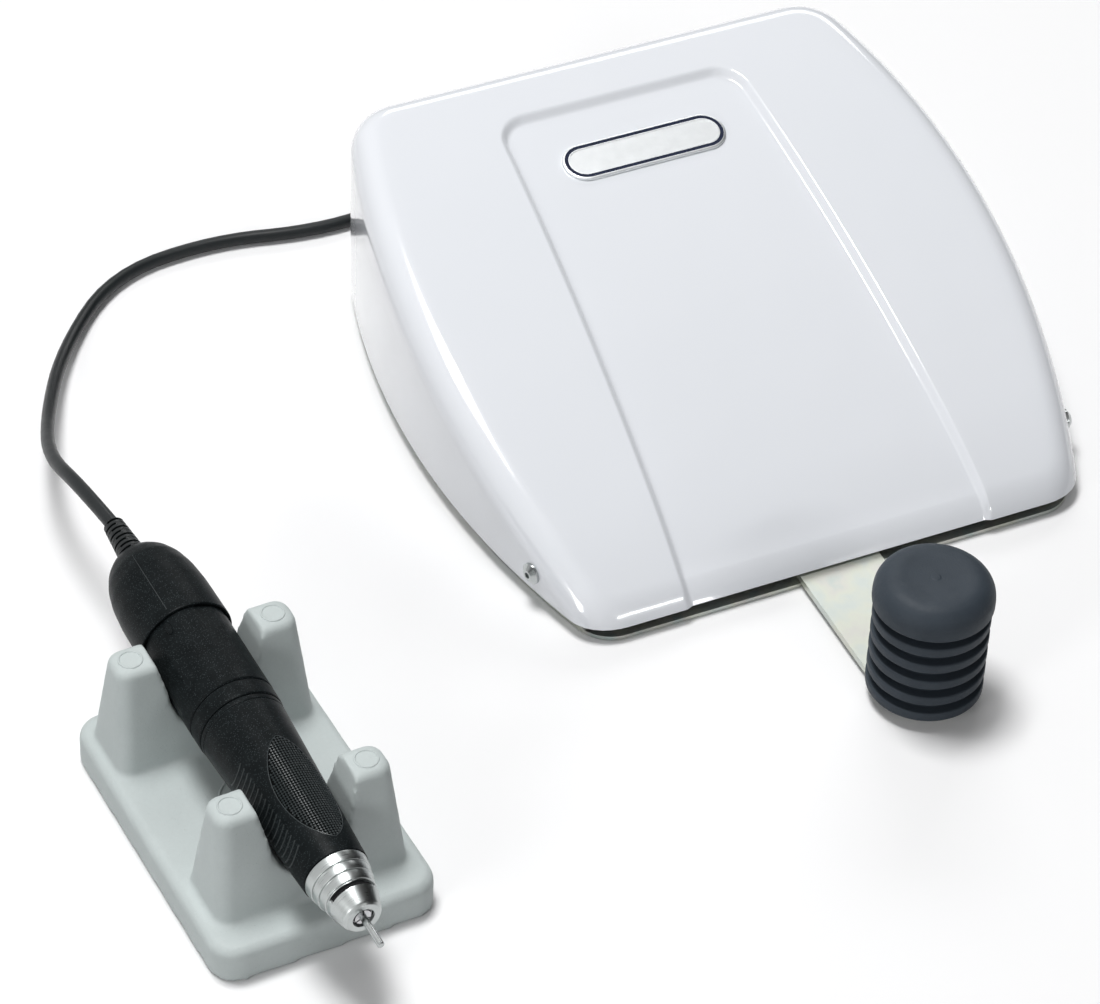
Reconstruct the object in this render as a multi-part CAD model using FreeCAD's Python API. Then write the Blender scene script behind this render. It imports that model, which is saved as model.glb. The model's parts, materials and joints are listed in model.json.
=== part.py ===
"""Dental-laboratory micromotor set.

A control box worked with the knee, its motor handpiece on a cable, and the
rubber cradle that the handpiece rests in.  Millimetres, +Z up.  The origin is
the centre of the box's mounting face, the front of the box looks along -Y.
Every piece is a solid of its own, written to parts/NAME.step.
"""
import FreeCAD, Part
import math
import os

V = FreeCAD.Vector
X_AXIS = V(1, 0, 0)
Y_AXIS = V(0, 1, 0)
Z_AXIS = V(0, 0, 1)

# ---------------------------------------------------------------- general fits
running_fit = 0.05          # radial clearance of a shaft in its bush
seat_gap = 0.02             # faces of two pieces of one body that are pressed together
part_gap = 0.3              # clearance between pieces of different bodies
beyond = 20.0               # how far cutting shapes reach past what they cut

# ------------------------------------------------------------------ box cover
box_width = 220.0           # across the widest part of the bowed sides
box_depth = 214.0
box_height = 77.0           # of the roof line at the rear wall, before rounding
side_radius = 320.0         # plan radius of the bowed sides
front_corner_radius = 17.0
rear_corner_radius = 20.0
roof_rear_slope = 7.7       # degrees at the rear wall, falling towards the front
roof_radius = 680.0         # the long, nearly flat part of the roof
roof_knee_y = -70.0         # where the roof starts to turn down faster
roof_front_radius = 200.0
roof_edge_radius = 10.5
cover_wall = 3.0            # thermoformed sheet
cover_floor = 5.6           # lower edge of the cover above the mounting face
panel_depth = 2.4           # recess of the centre panel in the roof
panel_half_rear = 45.0
panel_half_front = 56.0
panel_rear_y = box_depth / 2 - 27.0
panel_step_slope = 1.8      # run of the slanting step beside the panel
panel_fade = 16.0           # length over which the panel runs out at the front
panel_corner_radius = 9.0

# ----------------------------------------------------------------- steel tray
sheet = 1.5                 # steel sheet of tray, rear panel and bracket
tray_rim_height = 22.0
cover_clearance = 0.3       # between the cover's wall and what stands inside it
bench_hole_radius = 2.75
bench_hole_x = 164.0        # spacing of the mounting holes
bench_hole_y = 132.0
side_screw_y = -75.0
side_screw_z = 12.5
rear_screw_x = 74.0
cover_screw_radius = 2.0

# ----------------------------------------------------------------- knee lever
pivot_y = -45.0
lever_thick = 2.5
lever_width = 30.0
lever_clearance = 0.6       # over the tray
slot_margin = 40.0          # of the rim's slot in front of the pivot
knob_y = -163.5
lever_swing = 15.0          # degrees to each side
stud_radius = 4.0
stud_height = 11.0
bush_wall = 1.5
hub_radius = 8.0
hub_height = 10.0
spigot_radius = 3.0
spigot_height = 11.0

# ----------------------------------------------------------------------- knob
knob_rib_radius = 19.4
knob_cap_radius = 20.0
knob_groove_radius = 15.6
knob_rib_count = 5
knob_rib_pitch = 7.2
knob_rib_height = 3.6
knob_cap_height = 11.0
knob_shoulder_radius = 8.0
knob_core_radius = 8.0
knob_core_height = 26.0
knob_screw_radius = 3.0

# -------------------------------------------------------------- box internals
transformer_radius = 41.0
transformer_bore_radius = 14.0
transformer_height = 34.0
transformer_x = -42.0
transformer_y = box_depth / 2 - 73.0
pad_thick = 2.0
board_x = 41.0
board_y = box_depth / 2 - 65.0
board_width = 70.0
board_depth = 84.0
board_z = 10.0
board_thick = 1.6

# ------------------------------------------------------------------ rear panel
rear_panel_width = box_width - 70.0
rear_panel_top = 58.0
rear_opening_width = rear_panel_width - 10.0
rear_opening_low = 9.0
rear_opening_high = 52.0
inlet_x = 45.5
inlet_z = 30.0
inlet_width = 48.0
inlet_height = 23.0
power_switch_x = 8.0
reverse_switch_x = -62.0
switch_z = 30.0
switch_width = 13.0
switch_height = 20.0
rocker_swing = 14.0         # degrees between its two rests
socket_x = -15.5
socket_z = 28.0
socket_radius = 8.0
fuse_x = -40.0
fuse_radius = 6.2

# ----------------------------------------------------------------- badge plate
badge_length = 62.0
badge_width = 16.0
badge_thick = 1.2
badge_y = panel_rear_y - 23.0

# ---------------------------------------------------------------- cradle
cradle_x = -225.1
cradle_y = -136.6
cradle_turn = 3.0           # degrees about +Z, as it stands beside the box
cradle_width = 76.0
cradle_length = 115.0
cradle_slab = 13.0
cradle_height = 51.0
post_row_rear = 38.0        # of the rear pair of posts from the cradle's centre
post_row_front = -33.0
post_spacing_rear = 49.0
post_spacing_front = 46.0
post_top_radius = 6.4
post_foot_spread = 3.4      # how far each post widens sideways down to the slab
post_foot_depth = 26.0
cradle_edge_radius = 3.5
cradle_corner_radius = 9.0
post_corner_radius = 5.0
post_crown_radius = 3.0

# --------------------------------------------------------------- handpiece
hand_tilt = 1.6             # degrees nose down, from its two diameters in the saddles
hand_body_radius = 14.7
hand_cap_radius = 15.9
hand_saddle_gap = 0.3
nose_length = 19.1          # the metal nose, from its front face
grip_end = 87.0             # the grip sleeve ends here
ring_end = 94.0             # and the chuck ring here
cap_rim = 129.0
cap_end = 170.0
relief_end = 187.0
motor_wall = 1.6
magnet_start = 102.0        # places along the handpiece's axis from the nose face
magnet_length = 26.0
rotor_start = 104.0
rotor_length = 22.0
case_step = 134.0           # the motor case narrows under the cap here
case_rear_radius = 13.4
commutator_start = 138.0
commutator_length = 9.0
commutator_radius = 4.2
rear_seat = 147.0           # rear bearing seat
shaft_radius = 2.0
pin_radius = 1.175          # 2.35 mm tool shank
pin_out = 12.0              # pin length in front of the nose
pin_in = 22.0
collet_throw = 0.8          # how far the collet moves out to open
chuck_turn = 40.0           # degrees of the chuck ring
lift_height = 60.0          # how far the handpiece is shown lifted off
housing_start = 12.1        # front end of the housing that carries the spindle
housing_radius = 8.5
housing_bore = 6.95         # seat of the two ball bearings
housing_wide_radius = 10.9  # where it widens towards the chuck ring
housing_step = grip_end - 26.0
bearing_places = (13.0, 52.0)
bearing_width = 5.0
spindle_radius = 4.0
spindle_end = 76.0
spindle_bore = 2.55         # seat of the collet
coupling_start = 79.0
coupling_length = 9.0
nose_offset = -79.0         # nose face from the cradle's centre, along the cradle

# -------------------------------------------------------------------- cord
cord_radius = 2.4
coil_x = 50.0
coil_y = 140.0
coil_outer = 29.5
coil_inner = 19.5
coil_height = 9.8


# ============================================================ small helpers
def box(x0, x1, y0, y1, z0, z1):
    """Block between two corners."""
    return Part.makeBox(x1 - x0, y1 - y0, z1 - z0, V(x0, y0, z0))


def rod(radius, length, base, axis=Z_AXIS):
    """Cylinder from a base point along an axis."""
    return Part.makeCylinder(radius, length, base, axis)


def tube(outer, inner, length, base, axis=Z_AXIS):
    """Hollow cylinder."""
    return rod(outer, length, base, axis).cut(rod(inner, length, base, axis))


def polygon(points):
    """Closed wire through a list of points."""
    return Part.makePolygon(points + [points[0]])


def arc(start, middle, end):
    """Arc edge through three points."""
    return Part.Arc(start, middle, end).toShape()


def line(start, end):
    """Straight edge."""
    return Part.LineSegment(start, end).toShape()


def rounded_wire(width, length, radius, z, centre_y=0.0):
    """Rounded rectangle in a level plane."""
    half_x = width / 2
    half_y = length / 2
    diagonal = radius * (1 - math.sqrt(0.5))
    edges = []
    signs = [(1, -1), (1, 1), (-1, 1), (-1, -1)]
    starts = []
    for sx, sy in signs:
        along_x = V(sx * (half_x - radius), centre_y + sy * half_y, z)
        along_y = V(sx * half_x, centre_y + sy * (half_y - radius), z)
        middle = V(sx * (half_x - diagonal), centre_y + sy * (half_y - diagonal), z)
        first, last = (along_x, along_y) if sx * sy < 0 else (along_y, along_x)
        starts.append((first, middle, last))
    for index, (first, middle, last) in enumerate(starts):
        edges.append(arc(first, middle, last))
        edges.append(line(last, starts[(index + 1) % 4][0]))
    return Part.Wire(edges)


def outline(start, *legs):
    """Closed wire in the (Y, Z) plane from a start point and its legs.

    A leg of one point is a straight line, a leg of two is an arc through the
    first to the second.
    """
    here = V(0, *start)
    first = here
    edges = []
    for leg in legs:
        points = [V(0, *p) for p in leg]
        if len(points) == 1:
            edges.append(line(here, points[0]))
        else:
            edges.append(arc(here, points[0], points[1]))
        here = points[-1]
    if here.distanceToPoint(first) > 1e-6:
        edges.append(line(here, first))
    return Part.Wire(edges)


def turned(wire, axis=Y_AXIS):
    """Solid of revolution of a half section about an axis through the origin."""
    return Part.Face(wire).revolve(V(0, 0, 0), axis, 360)


def lathe(points, axis=Y_AXIS):
    """Turned solid from straight-sided half-section points (along, radius)."""
    return turned(outline(points[0], *[(p,) for p in points[1:]]), axis)


def bar_section(length_half, radius, z):
    """Stadium wire in a level plane, long along X."""
    return Part.Wire([
        line(V(-length_half, -radius, z), V(length_half, -radius, z)),
        arc(V(length_half, -radius, z), V(length_half + radius, 0, z), V(length_half, radius, z)),
        line(V(length_half, radius, z), V(-length_half, radius, z)),
        arc(V(-length_half, radius, z), V(-length_half - radius, 0, z), V(-length_half, -radius, z))])


# ============================================================ box cover forms
def plan_wire(inset, z):
    """Plan of the box at a height: straight front and rear, bowed sides."""
    half = box_depth / 2
    arc_centre = side_radius - box_width / 2
    corners = {}
    for name, sign, radius in (("front", -1, front_corner_radius), ("rear", 1, rear_corner_radius)):
        centre_y = sign * (half - radius)
        centre_x = arc_centre - math.sqrt((side_radius - radius) ** 2 - centre_y ** 2)
        reach = math.hypot(centre_x - arc_centre, centre_y)
        side_dir = V((centre_x - arc_centre) / reach, centre_y / reach, 0)
        middle_dir = (side_dir + V(0, sign, 0)).normalize()
        centre = V(centre_x, centre_y, z)
        corners[name] = [centre + V(0, sign, 0) * (radius - inset),
                         centre + middle_dir * (radius - inset),
                         centre + side_dir * (radius - inset)]
    left = corners["front"] + [V(-box_width / 2 + inset, 0, z)] + corners["rear"][::-1]
    right = [V(-p.x, p.y, p.z) for p in left]
    return Part.Wire([
        arc(left[0], left[1], left[2]),
        arc(left[2], left[3], left[4]),
        arc(left[4], left[5], left[6]),
        line(left[6], right[6]),
        arc(right[6], right[5], right[4]),
        arc(right[4], right[3], right[2]),
        arc(right[2], right[1], right[0]),
        line(right[0], left[0])])


def roof_frame(y):
    """Centre, radius and slope angle of the roof arc at a place along the box."""
    half = box_depth / 2
    rear_sin = math.sin(math.radians(roof_rear_slope))
    main_y = half + roof_radius * rear_sin
    main_z = box_height - roof_radius * math.cos(math.asin(rear_sin))
    if y >= roof_knee_y:
        return main_y, main_z, roof_radius, math.asin((main_y - y) / roof_radius)
    knee = math.asin((main_y - roof_knee_y) / roof_radius)
    lead = roof_radius - roof_front_radius
    front_y = main_y - lead * math.sin(knee)
    front_z = main_z + lead * math.cos(knee)
    return front_y, front_z, roof_front_radius, math.asin((front_y - y) / roof_front_radius)


def roof_point(y, inset=0.0, x=0.0):
    """Point of the roof, moved inwards along its normal."""
    centre_y, centre_z, radius, angle = roof_frame(y)
    reach = radius - inset
    return V(x, centre_y - reach * math.sin(angle), centre_z + reach * math.cos(angle))


def roof_normal(y):
    """Outward normal of the roof."""
    angle = roof_frame(y)[3]
    return V(0, -math.sin(angle), math.cos(angle))


def under_roof(inset):
    """Block that fills the space below the roof line."""
    half = box_depth / 2
    margin = 15.0
    low = -30.0
    front, middle_front = roof_point(-half - margin, inset), roof_point((roof_knee_y - half - margin) / 2, inset)
    knee, middle_main = roof_point(roof_knee_y, inset), roof_point(20.0, inset)
    rear = roof_point(half + margin, inset)
    wire = Part.Wire([
        arc(front, middle_front, knee),
        arc(knee, middle_main, rear),
        line(rear, V(0, rear.y, low)),
        line(V(0, rear.y, low), V(0, front.y, low)),
        line(V(0, front.y, low), front)])
    face = Part.Face(wire)
    face.translate(V(-box_width, 0, 0))
    return face.extrude(V(2 * box_width, 0, 0))


def on_roof(edge, inset):
    """True for an edge that runs along the roof surface."""
    for share in (0.1, 0.5, 0.9):
        first, last = edge.ParameterRange
        point = edge.valueAt(first + share * (last - first))
        if abs(point.z - roof_point(point.y, inset).z) > 0.6 + 0.02 * inset:
            return False
    return True


def box_form(inset):
    """Solid outer form of the box, or the form of its hollow, moved inwards by the wall."""
    prism = Part.Face(plan_wire(inset, -beyond)).extrude(V(0, 0, box_height + 2 * beyond))
    form = prism.common(under_roof(inset)).removeSplitter()
    edges = [e for e in form.Edges if on_roof(e, inset) and e.Length > 1]
    rim = [e for e in edges if not is_cross_line(e)]
    if inset:
        return form.makeChamfer((2 - math.sqrt(2)) * (roof_edge_radius - inset), rim)
    return form.makeFillet(roof_edge_radius, rim)


def is_cross_line(edge):
    """True for the faint line across the roof where its radius changes."""
    box_of = edge.BoundBox
    return box_of.YLength < 0.5 and abs(box_of.YMin - roof_knee_y) < 4


def panel_depth_at(y):
    """Depth of the sunk panel, running out just above the front lip."""
    share = max(0.0, min(1.0, (y + box_depth / 2) / panel_fade))
    return panel_depth * math.sin(share * math.pi / 2)


def panel_half_at(y):
    """Half width of the sunk panel's floor, wider towards the front."""
    share = (panel_rear_y - y) / (panel_rear_y + box_depth / 2)
    return panel_half_rear + (panel_half_front - panel_half_rear) * share


def panel_tool(expand):
    """Solid that sinks the centre panel into the roof, grown by a wall."""
    above = 6.0
    front = -box_depth / 2
    stations = [panel_rear_y + above, 50, 15, -20, -50, roof_knee_y, front + 1.2 * panel_fade,
                front + 0.6 * panel_fade, front, front - above]
    sections = []
    for y in stations:
        low = roof_point(y) - roof_normal(y) * (panel_depth_at(y) + expand + seat_gap)
        high = roof_point(y) + roof_normal(y) * above
        width = panel_half_at(y) + expand * panel_step_slope / 3
        spread = panel_step_slope * (panel_depth + expand + above) / panel_depth
        sections.append(polygon([
            low + V(-width, 0, 0), low + V(width, 0, 0),
            high + V(width + spread, 0, 0), high + V(-width - spread, 0, 0)]))
    return Part.makeLoft(sections, True, False).common(panel_plan(expand))


def panel_plan(expand):
    """Upright prism that rounds the rear corners of the panel tool."""
    rear = panel_rear_y + expand
    radius = panel_corner_radius + expand
    side = panel_half_at(panel_rear_y) + expand + 2 * panel_step_slope
    front_side = panel_half_at(-box_depth / 2) + expand + 3 * panel_step_slope
    front = -box_depth / 2 - beyond
    diagonal = radius * (1 - math.sqrt(0.5))
    low = -beyond
    right = [V(front_side, front, low), V(side, rear - radius, low),
             V(side - diagonal, rear - diagonal, low), V(side - radius, rear, low)]
    left = [V(-p.x, p.y, p.z) for p in right]
    wire = Part.Wire([
        line(right[0], right[1]), arc(right[1], right[2], right[3]), line(right[3], left[3]),
        arc(left[3], left[2], left[1]), line(left[1], left[0]), line(left[0], right[0])])
    return Part.Face(wire).extrude(V(0, 0, box_height + 3 * beyond))


# ================================================================ box pieces
def cover():
    """Thermoformed cover with its sunk centre panel."""
    outer = box_form(0.0).cut(panel_tool(0.0))
    inner = box_form(cover_wall).cut(panel_tool(cover_wall))
    below = box(-box_width, box_width, -box_depth, box_depth, -60, cover_floor)
    shell = outer.cut(inner).cut(below)
    half = box_depth / 2
    window = box(-rear_opening_width / 2, rear_opening_width / 2, half - 2 * cover_wall, half + 5,
                 rear_opening_low, rear_opening_high)
    shell = shell.cut(window)
    for place, axis in side_screw_places() + rear_screw_places():
        shell = shell.cut(rod(cover_screw_radius + 0.2, 12, place - axis * 10, axis))
    return shell


def side_screw_places():
    """Head seats of the two side screws on the cover and their outward axes."""
    arc_centre = side_radius - box_width / 2
    reach = math.sqrt(side_radius ** 2 - side_screw_y ** 2)
    x = reach - arc_centre
    tilt = math.asin(side_screw_y / side_radius)
    return [(V(x * sign, side_screw_y, side_screw_z), V(sign * math.cos(tilt), math.sin(tilt), 0))
            for sign in (-1, 1)]


def rear_screw_places():
    """Head seats of the two rear screws on the cover and their outward axes."""
    return [(V(sign * rear_screw_x, box_depth / 2, side_screw_z), V(0, 1, 0)) for sign in (-1, 1)]


def button_screw(radius, head_radius, head_height, length, place, axis):
    """Button-head screw with a hexagon socket; place is the seat of its head."""
    dome = lathe([(0, 0), (0, head_radius), (head_height * 0.4, head_radius), (head_height, head_radius * 0.5),
                  (head_height, 0)])
    corner = [V(radius * 0.62 * math.cos(math.radians(60 * k)), 0,
                radius * 0.62 * math.sin(math.radians(60 * k))) for k in range(6)]
    socket = Part.Face(polygon(corner)).extrude(V(0, head_height, 0))
    socket.translate(V(0, head_height * 0.4, 0))
    shank = rod(radius, length, V(0, -length, 0), Y_AXIS)
    screw = dome.fuse(shank).cut(socket).removeSplitter()
    screw.Placement = FreeCAD.Placement(place, FreeCAD.Rotation(Y_AXIS, axis))
    return screw


def cover_screws():
    """The four screws that hold the cover to the tray."""
    return Part.makeCompound([
        button_screw(cover_screw_radius, cover_screw_radius * 1.9, 2.2, 9, place + axis * seat_gap, axis)
        for place, axis in side_screw_places() + rear_screw_places()])


def base_tray():
    """Steel tray: mounting plate, upright rim and the slot of the lever."""
    inset = cover_wall + cover_clearance
    pan = Part.Face(plan_wire(inset, 0)).extrude(V(0, 0, tray_rim_height))
    hollow = Part.Face(plan_wire(inset + sheet, sheet)).extrude(V(0, 0, tray_rim_height))
    tray = pan.cut(hollow)
    tray = tray.common(under_roof(roof_edge_radius + part_gap).fuse(
        box(-box_width, box_width, -box_depth, box_depth, -5, sheet)))
    swing = math.radians(lever_swing + 2)
    slot = lever_width / 2 + (box_depth / 2 + pivot_y) * math.tan(swing)
    tray = tray.cut(box(-slot, slot, -box_depth, pivot_y - slot_margin, sheet, tray_rim_height))
    for x in (-bench_hole_x / 2, bench_hole_x / 2):
        for y in (-bench_hole_y / 2, bench_hole_y / 2):
            tray = tray.cut(rod(bench_hole_radius, 2 * sheet, V(x, y, -sheet / 2)))
    for place, axis in side_screw_places() + rear_screw_places():
        tray = tray.cut(rod(cover_screw_radius + seat_gap, 14, place - axis * 12, axis))
    half = box_depth / 2
    gap = rear_panel_width / 2 + 0.1
    return tray.cut(box(-gap, gap, half - 12, half, sheet, tray_rim_height + 1))


def rear_panel():
    """Upright steel panel behind the window in the cover's rear wall."""
    outer_y = box_depth / 2 - cover_wall - cover_clearance
    panel = box(-rear_panel_width / 2, rear_panel_width / 2, outer_y - sheet, outer_y,
                sheet + seat_gap, rear_panel_top)
    foot = box(-rear_panel_width / 2 + 20, rear_panel_width / 2 - 20, outer_y - 12, outer_y - sheet,
               sheet + seat_gap, 2 * sheet)
    panel = panel.fuse(foot)
    panel = panel.cut(box(inlet_x - inlet_width / 2 + 4, inlet_x + inlet_width / 2 - 4, outer_y - 5,
                          outer_y + 5, inlet_z - inlet_height / 2 + 1.5, inlet_z + inlet_height / 2 - 1.5))
    for x in (power_switch_x, reverse_switch_x):
        panel = panel.cut(box(x - switch_width / 2, x + switch_width / 2, outer_y - 5, outer_y + 5,
                              switch_z - switch_height / 2, switch_z + switch_height / 2))
    panel = panel.cut(rod(socket_radius, 10, V(socket_x, outer_y - 5, socket_z), Y_AXIS))
    panel = panel.cut(rod(fuse_radius, 10, V(fuse_x, outer_y - 5, socket_z), Y_AXIS))
    for place, axis in rear_screw_places():
        panel = panel.cut(rod(cover_screw_radius + seat_gap, 14, place - axis * 12, axis))
    return panel


def badge_plate():
    """Blank oval plate with a raised rim on the panel."""
    end_radius = badge_width / 2
    half_length = badge_length / 2 - end_radius
    plate = Part.Face(bar_section(half_length, end_radius, 0)).extrude(V(0, 0, badge_thick))
    field = Part.Face(bar_section(half_length, end_radius - 1.6, badge_thick - 0.35)).extrude(V(0, 0, 1))
    edges = [e for e in plate.Edges if e.CenterOfMass.z > badge_thick - 0.01]
    plate = plate.makeChamfer(0.4, edges).cut(field)
    return on_panel(plate, badge_y)


def on_panel(shape, y):
    """Lay a level shape on the sunk panel at a place along the box."""
    angle = math.degrees(roof_frame(y)[3])
    shape.Placement = FreeCAD.Placement(roof_point(y, panel_depth + 0.05 - seat_gap),
                                        FreeCAD.Rotation(X_AXIS, angle))
    return shape


# ============================================================== knee lever
def lever_low():
    """Underside of the lever plate."""
    return sheet + lever_clearance


def lever_top():
    """Upper side of the lever plate."""
    return lever_low() + lever_thick


def lever_plate():
    """Flat steel bar with rounded ends."""
    tail_y = pivot_y + lever_width / 2 + 6
    half = lever_width / 2
    low = lever_low()
    corner = 6.0
    wire = Part.Wire([
        line(V(-half, tail_y - corner, low), V(-half, knob_y, low)),
        arc(V(-half, knob_y, low), V(0, knob_y - half, low), V(half, knob_y, low)),
        line(V(half, knob_y, low), V(half, tail_y - corner, low)),
        line(V(half, tail_y - corner, low), V(half - corner, tail_y, low)),
        line(V(half - corner, tail_y, low), V(-half + corner, tail_y, low)),
        line(V(-half + corner, tail_y, low), V(-half, tail_y - corner, low))])
    plate = Part.Face(wire).extrude(V(0, 0, lever_thick))
    plate = plate.cut(rod(hub_radius - 2, 10, V(0, pivot_y, 0)))
    seat = Part.makeCone(knob_screw_radius * 2, knob_screw_radius, lever_thick, V(0, knob_y, low), Z_AXIS)
    return plate.cut(seat)


def pivot_stud():
    """Steel stud riveted to the tray, the lever's pivot."""
    stud = rod(stud_radius, stud_height, V(0, pivot_y, sheet + seat_gap))
    return stud.makeChamfer(0.4, [e for e in stud.Edges if e.BoundBox.ZMin > stud_height])


def lever_hub():
    """Turned hub on the lever, with the spigot that turns the sensor."""
    low = lever_low() - lever_clearance + 0.2
    top = low + hub_height + 2
    flange = lever_top() + seat_gap
    bore = stud_radius + running_fit + bush_wall
    hub = lathe([(low, bore), (low, hub_radius - 2 - seat_gap), (flange, hub_radius - 2 - seat_gap),
                 (flange, hub_radius + 2), (flange + 1.5, hub_radius + 2), (flange + 1.5, hub_radius - 1.5),
                 (top, hub_radius - 1.5), (top, spigot_radius), (top + spigot_height, spigot_radius),
                 (top + spigot_height, 0), (stud_height + sheet + 0.5, 0), (stud_height + sheet + 0.5, bore)])
    return upright(hub, 0, pivot_y)


def upright(shape, x, y):
    """Stand a shape turned about +Y up along +Z at a place."""
    shape.Placement = FreeCAD.Placement(V(x, y, 0), FreeCAD.Rotation(X_AXIS, 90))
    return shape


def pivot_bush():
    """Bronze bush pressed into the hub."""
    low = lever_low() - lever_clearance + 0.2
    length = stud_height + sheet + 0.5 - low
    outer = stud_radius + running_fit + bush_wall - seat_gap
    return tube(outer, stud_radius + running_fit, length - 0.1, V(0, pivot_y, low))


def bracket_low():
    """Underside of the sensor bracket's bridge."""
    return lever_low() - lever_clearance + 0.2 + hub_height + 2 + part_gap


def sensor_bracket():
    """Bent steel bridge over the pivot that carries the sensor."""
    low = bracket_low()
    reach = 26.0
    width = 12.0
    bridge = box(-reach, reach, pivot_y - width / 2, pivot_y + width / 2, low, low + sheet)
    legs = [box(s * reach - (sheet if s > 0 else 0), s * reach + (0 if s > 0 else sheet),
                pivot_y - width / 2, pivot_y + width / 2, sheet + seat_gap, low + sheet) for s in (-1, 1)]
    feet = [box(min(s * reach, s * (reach + 9)), max(s * reach, s * (reach + 9)),
                pivot_y - width / 2, pivot_y + width / 2, sheet + seat_gap, 2 * sheet) for s in (-1, 1)]
    bracket = bridge.fuse(legs).fuse(feet).removeSplitter()
    return bracket.cut(rod(spigot_radius + 0.5, 10, V(0, pivot_y, low - 5)))


def speed_sensor():
    """Rotary sensor on the bridge, turned by the hub's spigot."""
    low = bracket_low() + sheet + seat_gap
    body = box(-8, 8, pivot_y - 8, pivot_y + 8, low, low + 6)
    body = body.makeFillet(2, [e for e in body.Edges if e.BoundBox.ZLength > 5])
    body = body.fuse(tube(5, spigot_radius + running_fit, 1.5, V(0, pivot_y, low + 6)))
    legs = [rod(0.5, 8, V(-2.5 + 2.5 * k, pivot_y + 8, low + 2), Y_AXIS) for k in range(3)]
    return body.fuse(legs).cut(rod(spigot_radius + running_fit, 20, V(0, pivot_y, low - 1)))


def return_spring():
    """Coils of the torsion spring round the hub, drawn with a six-sided wire."""
    wire_radius = 0.75
    radius = hub_radius - 1.5 + 1.2 + wire_radius
    low = lever_top() + seat_gap + 1.5 + part_gap + wire_radius
    high = bracket_low() - seat_gap - wire_radius
    turns = 3
    helix = Part.makeHelix((high - low) / turns, high - low, radius)
    helix.translate(V(0, 0, low))
    profile = polygon([V(radius + wire_radius * math.cos(math.radians(60 * k)), 0,
                         low + wire_radius * math.sin(math.radians(60 * k))) for k in range(6)])
    coil = Part.Wire(helix.Edges).makePipeShell([profile], True, True)
    coil.translate(V(0, pivot_y, 0))
    return coil


# ==================================================================== knob
def knob_base():
    """Underside of the knob, on the lever plate."""
    return lever_top() + seat_gap


def knob():
    """Rubber knob: rounded cap over five ribs, hollow for its steel core."""
    base = knob_base()
    points = []
    for index in range(knob_rib_count):
        low = base + index * knob_rib_pitch
        points += [(low, knob_rib_radius), (low + knob_rib_height, knob_rib_radius),
                   (low + knob_rib_height, knob_groove_radius), (low + knob_rib_pitch, knob_groove_radius)]
    cap_low = base + knob_rib_count * knob_rib_pitch
    cap_top = cap_low + knob_cap_height
    shoulder = knob_shoulder_radius
    flat = knob_cap_radius - 0.9 * shoulder
    core_top = base + knob_core_height + seat_gap
    legs = [(p,) for p in points[1:]]
    legs += [((cap_low, knob_cap_radius),), ((cap_top - shoulder, knob_cap_radius),),
             ((cap_top - 0.45 * shoulder, knob_cap_radius - 0.14 * shoulder),),
             ((cap_top - 0.12 * shoulder, knob_cap_radius - 0.45 * shoulder),), ((cap_top, flat),),
             ((cap_top - 0.5, flat - 5),), ((cap_top - 0.5, 0),), ((core_top, 0),),
             ((core_top, knob_core_radius + seat_gap),), ((base, knob_core_radius + seat_gap),)]
    return upright(turned(outline(points[0], *legs)), 0, knob_y)


def knob_core():
    """Steel core moulded into the knob, tapped for its screw."""
    core = rod(knob_core_radius, knob_core_height, V(0, knob_y, knob_base()))
    return core.cut(rod(knob_screw_radius + seat_gap, knob_core_height - 8, V(0, knob_y, knob_base())))


def knob_screw():
    """Countersunk screw from below the plate into the knob's core."""
    low = lever_low() + 0.1
    head = Part.makeCone(knob_screw_radius * 2 - 0.15, knob_screw_radius - 0.05, lever_thick - 0.1,
                         V(0, knob_y, low), Z_AXIS)
    shank = rod(knob_screw_radius - 0.05, 15 + lever_thick, V(0, knob_y, low))
    slot = box(-4, 4, knob_y - 0.5, knob_y + 0.5, low - 1, low + 0.9)
    return head.fuse(shank).cut(slot).removeSplitter()


# ========================================================= electrics of the box
def transformer():
    """Toroidal mains transformer standing on a rubber pad."""
    low = sheet + pad_thick + 2 * seat_gap
    ring = tube(transformer_radius, transformer_bore_radius, transformer_height,
                V(transformer_x, transformer_y, low))
    return ring.makeChamfer(4, [e for e in ring.Edges if e.BoundBox.ZLength < 0.1
                                and abs(e.Curve.Radius - transformer_radius) < 1])


def transformer_pad():
    """Rubber pad under the transformer."""
    return tube(transformer_radius - 6, 4, pad_thick, V(transformer_x, transformer_y, sheet + seat_gap))


def transformer_clamp():
    """Dished plate with its centre bolt, holding the transformer down."""
    low = sheet + pad_thick + transformer_height + 3 * seat_gap
    plate = rod(24, 2, V(transformer_x, transformer_y, low))
    bolt = rod(3, low - sheet - seat_gap, V(transformer_x, transformer_y, sheet + seat_gap))
    head = nut(5, 4, V(transformer_x, transformer_y, low + 2))
    return plate.fuse(bolt).fuse(head).removeSplitter()


def nut(radius, height, base):
    """Hexagon prism."""
    points = [base + V(radius * math.cos(math.radians(60 * k)), radius * math.sin(math.radians(60 * k)), 0)
              for k in range(6)]
    return Part.Face(polygon(points)).extrude(V(0, 0, height))


def board_corners():
    """Places of the four board supports."""
    return [V(board_x + sx * (board_width / 2 - 5), board_y + sy * (board_depth / 2 - 5), 0)
            for sx in (-1, 1) for sy in (-1, 1)]


def board_standoffs():
    """Four hexagon spacers between tray and board."""
    height = board_z - sheet - 2 * seat_gap
    return Part.makeCompound([nut(3, height, p + V(0, 0, sheet + seat_gap)) for p in board_corners()])


def circuit_board():
    """Speed-control board with its holes."""
    board = box(board_x - board_width / 2, board_x + board_width / 2, board_y - board_depth / 2,
                board_y + board_depth / 2, board_z, board_z + board_thick)
    for place in board_corners():
        board = board.cut(rod(1.6, 5, place + V(0, 0, board_z - 1)))
    return board


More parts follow.
